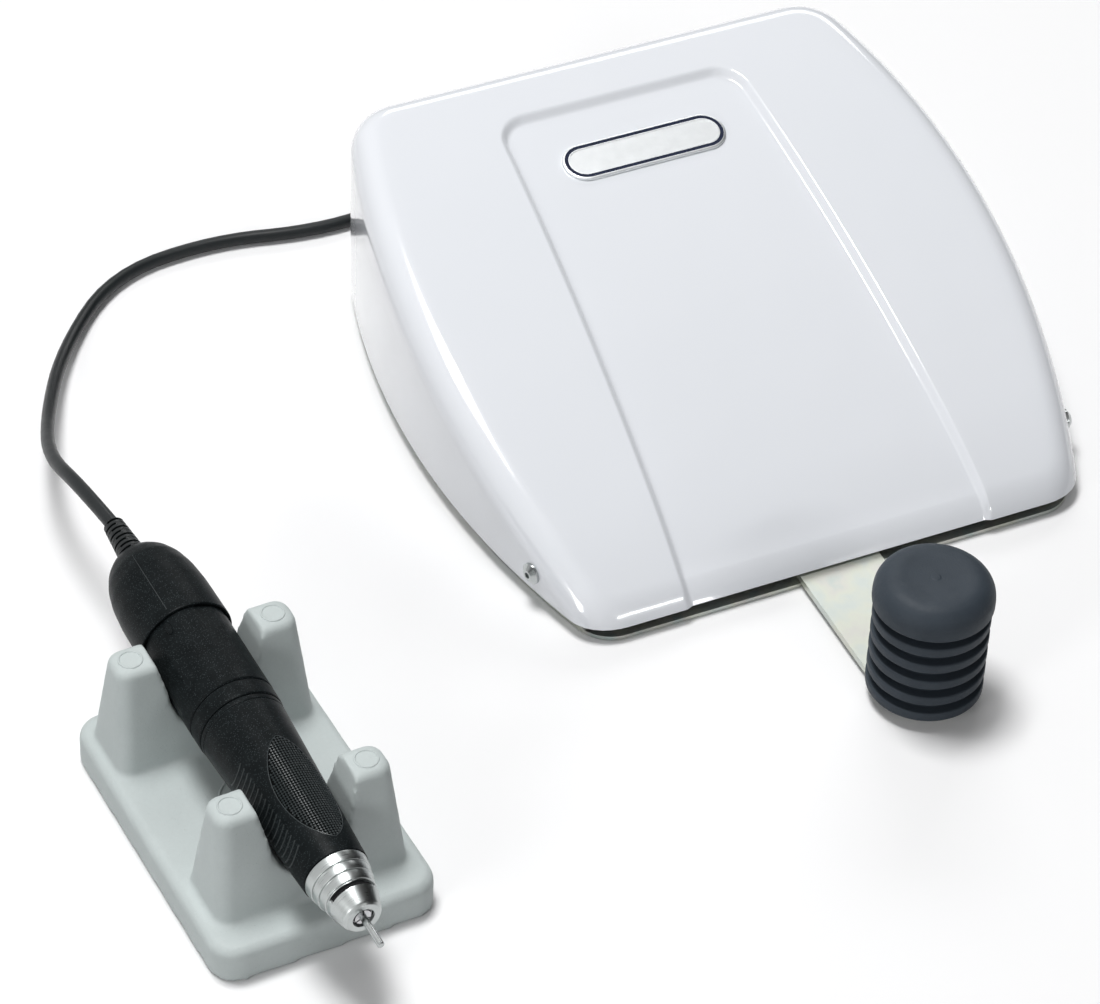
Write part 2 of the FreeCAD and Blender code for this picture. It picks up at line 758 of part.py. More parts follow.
def board_screws():
    """Four pan-head screws through the board into the spacers."""
    screws = []
    for place in board_corners():
        head = rod(2.8, 1.8, place + V(0, 0, board_z + board_thick + seat_gap))
        screws.append(head)
    return Part.makeCompound(screws)


def heat_sink():
    """Finned aluminium heat sink of the output stage."""
    low = board_z + board_thick + seat_gap
    x0 = board_x + 6
    fins = [box(x0 + 5 * k, x0 + 5 * k + 1.5, board_y - 28, board_y + 8, low, low + 20) for k in range(5)]
    base = box(x0, x0 + 21.5, board_y - 28, board_y + 8, low, low + 3)
    return base.fuse(fins).removeSplitter()


def capacitors():
    """Two electrolytic capacitors on the board."""
    low = board_z + board_thick + seat_gap
    return Part.makeCompound([rod(8, 26, V(board_x - 20, board_y - 6 + 20 * k, low)) for k in range(2)])


# ================================================================= rear fittings
def panel_face():
    """Outer face of the rear panel."""
    return box_depth / 2 - cover_wall - cover_clearance


def mains_inlet():
    """Three-pin appliance inlet with its blades."""
    y = panel_face()
    flange = box(inlet_x - inlet_width / 2, inlet_x + inlet_width / 2, y + seat_gap, y + 2.5,
                 inlet_z - inlet_height / 2, inlet_z + inlet_height / 2)
    body = box(inlet_x - 13.5, inlet_x + 13.5, y - 22, y + seat_gap, inlet_z - 9.8, inlet_z + 9.8)
    cavity = box(inlet_x - 12, inlet_x + 12, y - 15, y + 5, inlet_z - 8.2, inlet_z + 8.2)
    inlet = flange.fuse(body).cut(cavity)
    blades = [box(inlet_x + dx - 2, inlet_x + dx + 2, y - 16, y - 1, inlet_z + dz - 1, inlet_z + dz + 1)
              for dx, dz in ((-7, -2), (0, 2.5), (7, -2))]
    inlet = inlet.fuse(blades).removeSplitter()
    for dx in (-20, 20):
        inlet = inlet.cut(rod(1.7, 10, V(inlet_x + dx, y - 3, inlet_z), Y_AXIS))
    return inlet


def inlet_screws():
    """Two screws that hold the inlet to the rear panel."""
    y = panel_face() + 2.5 + seat_gap
    return Part.makeCompound([
        button_screw(1.6, 3.0, 1.5, 2.3, V(inlet_x + dx, y, inlet_z), Y_AXIS) for dx in (-20, 20)])


def switch_frame(x):
    """Snap-in frame and body of a rocker switch."""
    y = panel_face()
    half_w = switch_width / 2
    half_h = switch_height / 2
    flange = box(x - half_w - 1.2, x + half_w + 1.2, y + seat_gap, y + 2, switch_z - half_h - 1.2,
                 switch_z + half_h + 1.2)
    body = box(x - half_w + 0.2, x + half_w - 0.2, y - 18, y + seat_gap, switch_z - half_h + 0.2,
               switch_z + half_h - 0.2)
    hollow = box(x - half_w + 1.5, x + half_w - 1.5, y - 8, y + 5, switch_z - half_h + 1.5,
                 switch_z + half_h - 1.5)
    return flange.fuse(body).cut(hollow).removeSplitter()


def rocker(x):
    """Rocker of a switch, tilted to its first rest."""
    y = panel_face()
    half_w = switch_width / 2 - 1.5 - part_gap
    half_h = switch_height / 2 - 1.5 - part_gap
    tilt = math.radians(rocker_swing / 2)
    low = -4.0
    rise = 3.2
    wire = Part.Wire([
        line(V(0, low, -half_h * 0.55), V(0, low, half_h * 0.55)),
        line(V(0, low, half_h * 0.55), V(0, rise - 0.4, half_h * 0.93)),
        arc(V(0, rise - 0.4, half_h * 0.93), V(0, rise - 1.3, 0), V(0, rise - 0.4, -half_h * 0.93)),
        line(V(0, rise - 0.4, -half_h * 0.93), V(0, low, -half_h * 0.55))])
    face = Part.Face(wire)
    face.translate(V(-half_w, 0, 0))
    body = face.extrude(V(2 * half_w, 0, 0))
    body.Placement = FreeCAD.Placement(V(x, y, switch_z), FreeCAD.Rotation(X_AXIS, -math.degrees(tilt)))
    return body


def handpiece_socket():
    """Round panel socket for the handpiece lead."""
    y = panel_face()
    bore = 5.2
    length = 16.5
    socket = lathe([(-length, 0), (-length, socket_radius - 0.2), (seat_gap, socket_radius - 0.2),
                    (seat_gap, socket_radius + 3), (2.5, socket_radius + 3), (2.5, bore), (3 - length, bore),
                    (3 - length, 0)])
    socket.translate(V(socket_x, y, socket_z))
    return socket


def fuse_holder():
    """Panel fuse holder with its slotted bayonet cap."""
    holder = lathe([(-24, 0), (-24, 4), (-16, 4), (-16, fuse_radius - 0.2), (seat_gap, fuse_radius - 0.2),
                    (seat_gap, fuse_radius + 2), (2, fuse_radius + 2), (2, fuse_radius - 0.8),
                    (7, fuse_radius - 1.2), (7, 0)])
    holder = holder.cut(box(-fuse_radius, fuse_radius, 6, 8, -0.6, 0.6))
    holder.translate(V(fuse_x, panel_face(), socket_z))
    return holder


# ==================================================================== cradle
def place_cradle(shape):
    """Move a shape from the cradle's own frame to where the cradle stands."""
    turn = FreeCAD.Placement(V(cradle_x, cradle_y, 0), FreeCAD.Rotation(Z_AXIS, cradle_turn))
    shape.Placement = turn.multiply(shape.Placement)
    return shape


def saddle_centre(row):
    """Height of the handpiece's axis above the floor at a row of posts."""
    along = row - nose_offset
    return nose_height() + along * math.sin(math.radians(hand_tilt))


def grip_radius(along):
    """Outer radius of the grip sleeve at a distance from the nose face."""
    share = (along - nose_length) / (grip_end - nose_length)
    return 11.2 + 3.2 * share ** 0.8


def nose_height():
    """Height of the handpiece's axis at its nose face."""
    return cradle_slab + 22.0


def frustum(low_half, high_half, centre_y):
    """Solid with flat slanting sides between the slab and the post tops."""
    rings = []
    for (half_x, half_y), z in ((low_half, cradle_slab - 1), (high_half, cradle_height)):
        rings.append([V(x * half_x, centre_y + y * half_y, z) for x, y in ((-1, -1), (1, -1), (1, 1), (-1, 1))])
    low, high = rings
    faces = [Part.Face(polygon(low[::-1])), Part.Face(polygon(high))]
    faces += [Part.Face(polygon([low[k], low[(k + 1) % 4], high[(k + 1) % 4], high[k]])) for k in range(4)]
    return Part.Solid(Part.Shell(faces))


def yoke(row, spacing, radius):
    """One pair of posts with the saddle between them."""
    reach = spacing / 2 + post_top_radius
    pair = frustum((reach + post_foot_spread, post_foot_depth / 2), (reach, post_top_radius), row)
    pair = pair.makeFillet(post_corner_radius, [e for e in pair.Edges if e.BoundBox.ZLength > cradle_slab])
    rim = [e for e in pair.Edges if e.BoundBox.ZMin > cradle_height - 0.1]
    pair = pair.makeFillet(post_crown_radius, rim)
    centre = saddle_centre(row)
    bowl = radius + hand_saddle_gap
    open_half = spacing / 2 - post_top_radius + 0.4
    lift = cradle_height + 1
    section = Part.Wire([
        arc(V(bowl, 0, centre), V(0, 0, centre - bowl), V(-bowl, 0, centre)),
        line(V(-bowl, 0, centre), V(-open_half, 0, lift)),
        line(V(-open_half, 0, lift), V(open_half, 0, lift)),
        line(V(open_half, 0, lift), V(bowl, 0, centre))])
    tool = Part.Face(section)
    tool.translate(V(0, row - post_foot_depth, 0))
    tool = tool.extrude(V(0, 2 * post_foot_depth, 0))
    tool.rotate(V(0, row, centre), X_AXIS, hand_tilt)
    return pair.cut(tool)


def cradle():
    """Moulded rubber cradle: slab, four posts and two saddles."""
    slab = Part.Face(rounded_wire(cradle_width, cradle_length, cradle_corner_radius, 0))
    slab = slab.extrude(V(0, 0, cradle_slab))
    slab = slab.makeFillet(cradle_edge_radius, [e for e in slab.Edges if e.BoundBox.ZMin > cradle_slab - 0.1])
    body = slab.fuse(yoke(post_row_rear, post_spacing_rear, hand_body_radius))
    front_radius = grip_radius(post_row_front - nose_offset + post_top_radius)
    body = body.fuse(yoke(post_row_front, post_spacing_front, front_radius)).removeSplitter()
    return place_cradle(body)


# ================================================================= handpiece
def place_hand(shape):
    """Move a shape from the handpiece's frame (nose face at 0, rear along +Y)."""
    tilt = FreeCAD.Placement(V(0, nose_offset, nose_height()), FreeCAD.Rotation(X_AXIS, hand_tilt))
    shape.Placement = tilt.multiply(shape.Placement)
    return place_cradle(shape)


def nose_cone():
    """Stepped metal nose with its three rings and the window of the release."""
    wire = outline((0, 3.5), ((0, 5.8),), ((0.7, 6.4),), ((6.4, 8.2),), ((8.4, 8.3),), ((8.4, 8.6),),
                   ((12.1, 9.3),), ((12.1, 9.5),), ((15.3, 9.95),), ((15.3, 10.1),), ((nose_length, 10.7),),
                   ((nose_length, 8.55),), ((12.0, 8.55),), ((12.0, 7.05),), ((4.0, 7.05),), ((3.0, 3.5),))
    body = turned(wire)
    window = tube(12, 7.4, 1.9, V(0, 6.45, 0), Y_AXIS).common(box(-9, 9, 0, 12, 3.0, 14))
    return place_hand(body.cut(window))


def grip_sleeve():
    """Tapered grip sleeve."""
    first, waist, last = nose_length + 0.15, 48, grip_end - 0.15
    bore = housing_radius + running_fit
    wide = housing_wide_radius + 0.1
    return place_hand(lathe([
        (first, bore), (first, grip_radius(first)), (waist, grip_radius(waist)), (last, grip_radius(last)),
        (last, wide + 0.6), (housing_step + 6, wide), (housing_step - 0.2, bore)]))


def front_housing():
    """Aluminium tube that carries the spindle's bearings."""
    wide_bore = housing_wide_radius - 1.9
    return place_hand(lathe([
        (housing_start, housing_bore), (housing_start, housing_radius), (housing_step, housing_radius),
        (housing_step + 6, housing_wide_radius), (ring_end + 3.8, housing_wide_radius),
        (ring_end + 3.8, wide_bore), (housing_step + 8, wide_bore), (housing_step + 2, housing_bore)]))


def spindle_bearings():
    """Front and rear ball bearings of the spindle."""
    return place_hand(Part.makeCompound([
        tube(housing_bore - seat_gap, spindle_radius + running_fit, bearing_width, V(0, at, 0), Y_AXIS)
        for at in bearing_places]))


def chuck_ring():
    """Ring band that is turned to open the chuck, with its cam lip."""
    ring = lathe([(grip_end + 0.15, 11.3), (grip_end + 0.15, 14.1), (grip_end + 0.6, 14.5),
                  (ring_end - 0.6, 14.55), (ring_end - 0.15, 14.2), (ring_end - 0.15, 11.3)])
    return place_hand(ring)


def motor_case():
    """Motor housing with shallow flats, stepped down under the rear cap."""
    inner = hand_body_radius - motor_wall
    rear_inner = case_rear_radius - motor_wall
    rear = rear_seat + 6
    body = lathe([(ring_end + 0.15, 11.2), (ring_end + 0.15, 14.3), (ring_end + 0.6, hand_body_radius),
                  (case_step, hand_body_radius), (case_step, case_rear_radius), (rear - 2, case_rear_radius),
                  (rear, 12.0), (rear, 6.0), (rear - 1.5, 6.0), (rear - 1.5, rear_inner - 0.5),
                  (rear - 2, rear_inner), (case_step - 2, rear_inner), (case_step - 2, inner),
                  (ring_end + 4, inner), (ring_end + 4, 11.2)])
    for k in range(6):
        flat = box(-4.2, 4.2, ring_end + 6, cap_rim + 3, hand_body_radius - 0.35, hand_body_radius + 2)
        flat.rotate(V(0, 0, 0), Y_AXIS, 60 * k + 20)
        body = body.cut(flat)
    return place_hand(body)


def magnets():
    """Two arc magnets of the motor."""
    outer = hand_body_radius - motor_wall - seat_gap
    ring = tube(outer, outer - 2.4, magnet_length, V(0, magnet_start, 0), Y_AXIS)
    gap = box(-2, 2, magnet_start - 1, magnet_start + magnet_length + 1, -20, 20)
    return place_hand(ring.cut(gap))


def motor_bearings():
    """Front and rear bearings of the motor shaft."""
    front = tube(8.9, shaft_radius + running_fit, 4, V(0, ring_end + 0.5, 0), Y_AXIS)
    rear = tube(5.9, shaft_radius + running_fit, 4, V(0, rear_seat + 1, 0), Y_AXIS)
    return place_hand(Part.makeCompound([front, rear]))


def brush_holder():
    """Insulating holder of the brushes, with the seat of the rear bearing."""
    outer = case_rear_radius - motor_wall - seat_gap
    start = commutator_start - 0.5
    holder = lathe([(start, 6.0), (start, outer), (rear_seat + 3, outer), (rear_seat + 3, 5.92),
                    (rear_seat + 0.95, 5.92), (rear_seat + 0.95, 2.6), (rear_seat, 2.6), (rear_seat, 6.0)])
    middle = commutator_start + commutator_length / 2
    slots = box(-2.1, 2.1, middle - 2.1, middle + 2.1, -20, 20)
    return place_hand(holder.cut(slots))


def brushes():
    """Two carbon brushes against the commutator."""
    middle = commutator_start + commutator_length / 2
    brush = box(-2, 2, middle - 2, middle + 2, commutator_radius + running_fit, 11.4)
    other = brush.mirror(V(0, 0, 0), Z_AXIS)
    return place_hand(Part.makeCompound([brush, other]))


def rear_cap():
    """Domed rear cap over the motor's end."""
    seat = case_rear_radius + 0.1
    rim = hand_body_radius + 0.1
    return place_hand(lathe([
        (cap_rim, rim), (cap_rim, hand_cap_radius - 0.2), (cap_rim + 0.5, hand_cap_radius),
        (cap_end - 24, 15.3), (cap_end - 13, 13.8), (cap_end - 5.5, 10.6), (cap_end - 1.2, 7.0), (cap_end, 5.2),
        (cap_end, 3.6), (cap_end - 2.2, 3.6), (cap_end - 2.2, 5.1), (cap_end - 7, 8.2), (cap_end - 14, 11.8),
        (cap_end - 17.5, seat), (case_step + 1, seat), (case_step + 1, rim)]))


def strain_relief():
    """Slotted rubber sleeve where the lead enters the cap."""
    start = cap_end - 4.0
    pitch = 4.2
    sleeve = turned(outline((start, 0), ((start, 5.0),), ((cap_end - 2.3, 5.0),), ((cap_end - 2.3, 3.5),),
                            ((cap_end + 0.1, 3.5),), ((cap_end + 0.1, 4.7),), ((relief_end, 3.4),),
                            ((relief_end, 0),)))
    for k in range(4):
        at = cap_end + 1.4 + pitch * k
        groove = tube(8, 3.0, 1.4, V(0, at, 0), Y_AXIS)
        keep = box(-8, 8, at - 1, at + 3, -1.2, 1.2) if k % 2 else box(-1.2, 1.2, at - 1, at + 3, -8, 8)
        sleeve = sleeve.cut(groove.cut(keep))
    return place_hand(sleeve)


# --------------------------------------------------------- turning pieces
def spindle_tube():
    """Hollow spindle with the seat of the collet."""
    front = spindle_radius - 0.7
    return place_hand(lathe([
        (1.4, spindle_bore + 0.5), (1.4, front), (housing_start + 0.1, front),
        (housing_start + 0.1, spindle_radius), (spindle_end, spindle_radius), (spindle_end, 1.3), (40, 1.3),
        (40, spindle_bore), (4.2, spindle_bore)]))


def collet():
    """Three-jaw collet with its tapered head."""
    shank = spindle_bore - running_fit
    bore = pin_radius + seat_gap
    body = lathe([(0.5, bore), (0.5, shank + 0.2), (1.6, shank + 0.45), (4.0, shank), (30, shank), (30, bore)])
    for k in range(3):
        slot = box(-0.25, 0.25, 0, 20, 0, 5)
        slot.rotate(V(0, 0, 0), Y_AXIS, 120 * k)
        body = body.cut(slot)
    return place_hand(body)


def tool_pin():
    """Plain 2.35 mm pin held in the collet."""
    pin = rod(pin_radius, pin_in + pin_out, V(0, -pin_out, 0), Y_AXIS)
    ends = [e for e in pin.Edges if e.BoundBox.YLength < 0.01 and e.CenterOfMass.y < 0]
    return place_hand(pin.makeChamfer(0.3, ends))


def shaft_coupling():
    """Claw coupling between the motor shaft and the spindle."""
    hub = tube(5.5, shaft_radius + seat_gap, coupling_length, V(0, coupling_start, 0), Y_AXIS)
    claw = box(-5, 5, spindle_end + 0.1, coupling_start, -1.5, 1.5)
    return place_hand(hub.fuse(claw).removeSplitter())


def motor_shaft():
    """Steel shaft of the motor."""
    start = coupling_start + 0.5
    return place_hand(rod(shaft_radius, rear_seat + 5 - start, V(0, start, 0), Y_AXIS))


def rotor_core():
    """Slotted lamination stack of the rotor."""
    core = tube(10.2, shaft_radius + seat_gap, rotor_length, V(0, rotor_start, 0), Y_AXIS)
    for k in range(7):
        slot = box(-1.0, 1.0, rotor_start - 1, rotor_start + rotor_length + 1, 6.0, 12)
        slot.rotate(V(0, 0, 0), Y_AXIS, 360 / 7 * k)
        core = core.cut(slot)
    return place_hand(core)


def rotor_windings():
    """Winding heads at both ends of the rotor."""
    bore = shaft_radius + seat_gap
    rear = rotor_start + rotor_length + 0.1
    front = rotor_start - 0.1
    heads = [lathe([(front - 4, bore), (front - 4, 7), (front - 2.6, 8.6), (front, 8.6), (front, bore)]),
             lathe([(rear, bore), (rear, 8.6), (rear + 4, 8.6), (rear + 6, 6.5), (rear + 6, bore)])]
    return place_hand(Part.makeCompound(heads))


def commutator():
    """Copper commutator on the motor shaft."""
    return place_hand(tube(commutator_radius, shaft_radius + seat_gap, commutator_length,
                           V(0, commutator_start, 0), Y_AXIS))


# ====================================================================== cord
def handpiece_port():
    """Centre and rearward direction of the strain relief's rear end."""
    turn = FreeCAD.Rotation(Z_AXIS, cradle_turn).multiply(FreeCAD.Rotation(X_AXIS, hand_tilt))
    direction = turn.multVec(Y_AXIS)
    height = nose_height() + relief_end * math.sin(math.radians(hand_tilt))
    flat = nose_offset + relief_end * math.cos(math.radians(hand_tilt))
    swing = math.radians(cradle_turn)
    point = V(cradle_x - flat * math.sin(swing), cradle_y + flat * math.cos(swing), height)
    return point, direction


def lead_route():
    """Route of the lead from the handpiece over the floor to the coil."""
    port, direction = handpiece_port()
    start = port + direction * part_gap
    floor = cord_radius + 0.1
    return [start,
            V(-234.0, -5, 39.5),
            V(-234.5, 24, 28.0),
            V(-223.5, 58, 14.0),
            V(-203.5, 99.5, 4.2),
            V(-172, 134.5, floor),
            V(-131, 139.5, floor),
            V(-94, 130.5, floor),
            V(-62, 133, floor),
            V(-28, 126, floor),
            V(7, 116.5, floor + 0.5),
            V(33, 121.5, floor + 1)]


def plug_route():
    """Route of the lead from the coil to the plug on the rear panel."""
    end = V(socket_x, plug_end(), socket_z)
    floor = cord_radius + 0.1
    return [V(40, 164.5, coil_height - floor),
            V(18, 171, coil_height - floor),
            V(-3.5, 165, 16.5),
            V(-12, 155, 24.2),
            V(socket_x, 144, socket_z),
            end]


def plug_end():
    """Where the lead leaves the plug."""
    return panel_face() + 28.0


def smooth_path(points, name):
    """Wire of straight runs joined by tangent arcs through a list of points."""
    edges = []
    here = points[0]
    radii = []
    for before, corner, after in zip(points, points[1:], points[2:]):
        into = (corner - before).normalize()
        out = (after - corner).normalize()
        half_turn = into.getAngle(out) / 2
        cut = 0.45 * min((corner - before).Length, (after - corner).Length)
        radii.append(cut / math.tan(half_turn))
        first = corner - into * cut
        last = corner + out * cut
        bulge = (out - into).normalize()
        sagitta = radii[-1] / math.cos(half_turn) - radii[-1]
        edges.append(line(here, first))
        edges.append(arc(first, corner + bulge * sagitta, last))
        here = last
    edges.append(line(here, points[-1]))
    length = sum(e.Length for e in edges)
    print(name, "length %.1f" % length, "least radius %.1f" % min(radii),
          "radii", " ".join("%.0f" % r for r in radii))
    return Part.Wire(edges), length


def cord_tube(points, name):
    """Round cord along a route, with its volume compared with section times length."""
    path, length = smooth_path(points, name)
    direction = (points[1] - points[0]).normalize()
    section = Part.Wire(Part.makeCircle(cord_radius, points[0], direction))
    solid = path.makePipeShell([section], True, True)
    print(name, "volume %.1f" % solid.Volume, "section x length %.1f"
          % (math.pi * cord_radius ** 2 * length))
    return solid


def cord_coil():
    """Outer shape of the coiled rest of the lead behind the box."""
    coil = tube(coil_outer, coil_inner, coil_height, V(coil_x, coil_y, 0.1))
    return coil.makeChamfer(2.0, [e for e in coil.Edges if e.BoundBox.ZLength < 0.1])


def lead_plug():
    """Straight plug of the lead, in the panel socket."""
    y = panel_face() + 2.5 + 2 * seat_gap
    length = plug_end() - y
    tip = rod(5.0, 12, V(socket_x, y - 12, socket_z), Y_AXIS)
    shell = turned(outline((0, 0), ((0, 7.0),), ((length - 12, 7.0),), ((length - 11, 5.5),),
                           ((length, 3.4),), ((length, 0),)))
    shell.translate(V(socket_x, y, socket_z))
    return tip.fuse(shell).removeSplitter()


# ================================================================= write parts
def build():
    """All pieces by node name."""
    return {
        "base_tray": base_tray(),
        "cover": cover(),
        "cover_screws": cover_screws(),
        "badge_plate": badge_plate(),
        "rear_panel": rear_panel(),
        "mains_inlet": mains_inlet(),
        "inlet_screws": inlet_screws(),
        "fuse_holder": fuse_holder(),
        "power_switch_frame": switch_frame(power_switch_x),
        "power_rocker": rocker(power_switch_x),
        "reverse_switch_frame": switch_frame(reverse_switch_x),
        "reverse_rocker": rocker(reverse_switch_x),
        "handpiece_socket": handpiece_socket(),
        "transformer": transformer(),
        "transformer_pad": transformer_pad(),
        "transformer_clamp": transformer_clamp(),
        "circuit_board": circuit_board(),
        "board_standoffs": board_standoffs(),
        "board_screws": board_screws(),
        "heat_sink": heat_sink(),
        "capacitors": capacitors(),
        "pivot_stud": pivot_stud(),
        "sensor_bracket": sensor_bracket(),
        "speed_sensor": speed_sensor(),
        "return_spring": return_spring(),
        "lever_plate": lever_plate(),
        "lever_hub": lever_hub(),
        "pivot_bush": pivot_bush(),
        "knob_core": knob_core(),
        "knob": knob(),
        "knob_screw": knob_screw(),
        "cradle": cradle(),
        "nose_cone": nose_cone(),
        "grip_sleeve": grip_sleeve(),
        "front_housing": front_housing(),
        "spindle_bearings": spindle_bearings(),
        "chuck_ring": chuck_ring(),
        "motor_case": motor_case(),
        "magnets": magnets(),
        "motor_bearings": motor_bearings(),
        "brush_holder": brush_holder(),
        "brushes": brushes(),
        "rear_cap": rear_cap(),
        "strain_relief": strain_relief(),
        "spindle_tube": spindle_tube(),
        "shaft_coupling": shaft_coupling(),
        "motor_shaft": motor_shaft(),
        "rotor_core": rotor_core(),
        "rotor_windings": rotor_windings(),
        "commutator": commutator(),
        "collet": collet(),
        "tool_pin": tool_pin(),
        "handpiece_cord": cord_tube(lead_route(), "handpiece_cord"),
        "cord_coil": cord_coil(),
        "cord_end": cord_tube(plug_route(), "cord_end"),
        "lead_plug": lead_plug(),
    }


def main():
    """Write each piece to its STEP file."""
    os.makedirs("parts", exist_ok=True)
    for name, shape in build().items():
        shape.exportStep("parts/" + name + ".step")
        print(name, "valid" if shape.isValid() else "NOT VALID", len(shape.Solids), "solids",
              "%.0f mm3" % shape.Volume)


main()
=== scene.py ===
import json
import math

import bmesh
import bpy
from mathutils import Matrix, Vector


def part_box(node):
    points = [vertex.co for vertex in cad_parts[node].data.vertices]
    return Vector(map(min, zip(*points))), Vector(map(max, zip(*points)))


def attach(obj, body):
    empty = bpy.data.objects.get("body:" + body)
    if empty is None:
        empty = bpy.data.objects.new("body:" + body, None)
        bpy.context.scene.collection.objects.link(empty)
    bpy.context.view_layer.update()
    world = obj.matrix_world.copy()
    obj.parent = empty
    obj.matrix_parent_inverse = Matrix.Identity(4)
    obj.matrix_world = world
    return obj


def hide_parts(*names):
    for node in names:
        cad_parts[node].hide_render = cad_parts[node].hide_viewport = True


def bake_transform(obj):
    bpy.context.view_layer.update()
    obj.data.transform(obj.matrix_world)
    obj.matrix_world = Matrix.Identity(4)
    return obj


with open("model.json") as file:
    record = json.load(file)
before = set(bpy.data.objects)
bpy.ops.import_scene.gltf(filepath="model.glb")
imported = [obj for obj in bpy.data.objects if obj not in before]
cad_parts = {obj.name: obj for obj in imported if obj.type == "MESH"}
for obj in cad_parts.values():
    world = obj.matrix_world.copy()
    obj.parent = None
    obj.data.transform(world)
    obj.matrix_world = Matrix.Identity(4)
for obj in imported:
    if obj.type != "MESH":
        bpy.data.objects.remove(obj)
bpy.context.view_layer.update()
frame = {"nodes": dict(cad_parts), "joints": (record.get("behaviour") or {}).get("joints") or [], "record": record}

MM = 0.001
AXIS_X, AXIS_Y, AXIS_Z = Vector((1, 0, 0)), Vector((0, 1, 0)), Vector((0, 0, 1))


# ------------------------------------------------------------------ shader kit
class Wire:
    """A node's output, summed, scaled and compared like a number."""

    def __init__(self, net, socket):
        self.net = net
        self.socket = socket

    def calculate(self, operation, *values):
        return self.net.node("ShaderNodeMath", {"operation": operation}, *values)

    def __add__(self, other):
        return self.calculate("ADD", self, other)

    def __sub__(self, other):
        return self.calculate("SUBTRACT", self, other)

    def __mul__(self, other):
        return self.calculate("MULTIPLY", self, other)

    def __truediv__(self, other):
        return self.calculate("DIVIDE", self, other)

    def __pow__(self, other):
        return self.calculate("POWER", self, other)

    def __rsub__(self, other):
        return self.calculate("SUBTRACT", other, self)

    def __gt__(self, other):
        return self.calculate("GREATER_THAN", self, other)

    def __lt__(self, other):
        return self.calculate("LESS_THAN", self, other)

    __radd__ = __add__
    __rmul__ = __mul__


class Net:
    """A node tree, filled one node at a time."""

    def __init__(self, tree):
        self.tree = tree

    def node(self, kind, settings, *values, out=0, **named):
        """Add a node with its settings, give its sockets values or wires, and return one output."""
        made = self.tree.nodes.new(kind)
        for name, value in settings.items():
            if name == "stops":
                self.fill_ramp(made.color_ramp, value)
            else:
                setattr(made, name, value)
        pairs = list(enumerate(values)) + [(name.replace("_", " "), value) for name, value in named.items()]
        for key, value in pairs:
            if value is None:
                continue
            socket = made.inputs[key]
            if isinstance(value, Wire):
                self.tree.links.new(value.socket, socket)
            else:
                socket.default_value = value
        return Wire(self, made.outputs[out]) if made.outputs else made

    @staticmethod
    def fill_ramp(ramp, stops):
        while len(ramp.elements) < len(stops):
            ramp.elements.new(0.5)
        for element, (place, colour) in zip(ramp.elements, stops):
            element.position = place
            element.color = colour if len(colour) == 4 else (*colour, 1)


class Finish(Net):
    """A material with one Principled shader."""

    def __init__(self, name, colour, roughness, metallic=0.0, **more):
        self.material = bpy.data.materials.new(name)
        self.material.use_nodes = True
        super().__init__(self.material.node_tree)
        self.surface = next(n for n in self.tree.nodes if n.type == "BSDF_PRINCIPLED")
        self.surface.inputs["Base Color"].default_value = (*colour, 1)
        self.surface.inputs["Roughness"].default_value = roughness
        self.surface.inputs["Metallic"].default_value = metallic
        for key, value in more.items():
            self.surface.inputs[key.replace("_", " ")].default_value = value
        self.place = self.node("ShaderNodeTexCoord", {}, out="Object")

    def feed(self, name, wire):
        self.tree.links.new(wire.socket, self.surface.inputs[name])

    def noise(self, size, detail=3.0, roughness=0.55, place=None):
        """Noise from 0 to 1 whose blotches are about size millimetres across."""
        return self.node("ShaderNodeTexNoise", {}, Vector=place or self.place, Scale=1000.0 / size,
                         Detail=detail, Roughness=roughness)

    def grain(self, size, place=None):
        """Cells about size millimetres across; 0 at their middles."""
        return self.node("ShaderNodeTexVoronoi", {}, Vector=place or self.place, Scale=1000.0 / size)

    def blend(self, share, first, second):
        """Colour between two colours."""
        wires = [value if isinstance(value, Wire) else (*value, 1) for value in (first, second)]
        made = self.node("ShaderNodeMix", {"data_type": "RGBA"}, out=2)
        inputs = made.socket.node.inputs
        for socket, value in ((inputs[0], share), (inputs[6], wires[0]), (inputs[7], wires[1])):
            if isinstance(value, Wire):
                self.tree.links.new(value.socket, socket)
            else:
                socket.default_value = value
        return made

    def tint(self, share, light, dark):
        """Base colour that wanders between two shades."""
        self.feed("Base Color", self.blend(share, dark, light))

    def relief(self, height, depth):
        """Bump of a height wire, depth in millimetres."""
        self.feed("Normal", self.node("ShaderNodeBump", {}, Strength=1.0, Distance=depth * MM, Height=height,
                                      out="Normal"))

    def spread(self, wire, low, high):
        """Roughness between two values."""
        self.feed("Roughness", wire * (high - low) + low)

    def turned_place(self, matrix):
        """Object coordinates in a piece's own frame, from the inverse of its placement."""
        location, rotation, _ = matrix.inverted().decompose()
        return self.node("ShaderNodeMapping", {}, Vector=self.place, Location=location,
                         Rotation=rotation.to_euler())


# ------------------------------------------------------------------ mesh kit
def shade(mesh, angle=35):
    """Smooth shading that keeps edges sharper than the angle."""
    mesh.shade_smooth()
    mesh.set_sharp_from_angle(angle=math.radians(angle))


def finish_piece(piece, material, body, angle=35):
    """Give a made piece its material, smooth shading and body."""
    piece.data.materials.clear()
    piece.data.materials.append(material)
    shade(piece.data, angle)
    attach(piece, body)
    return piece


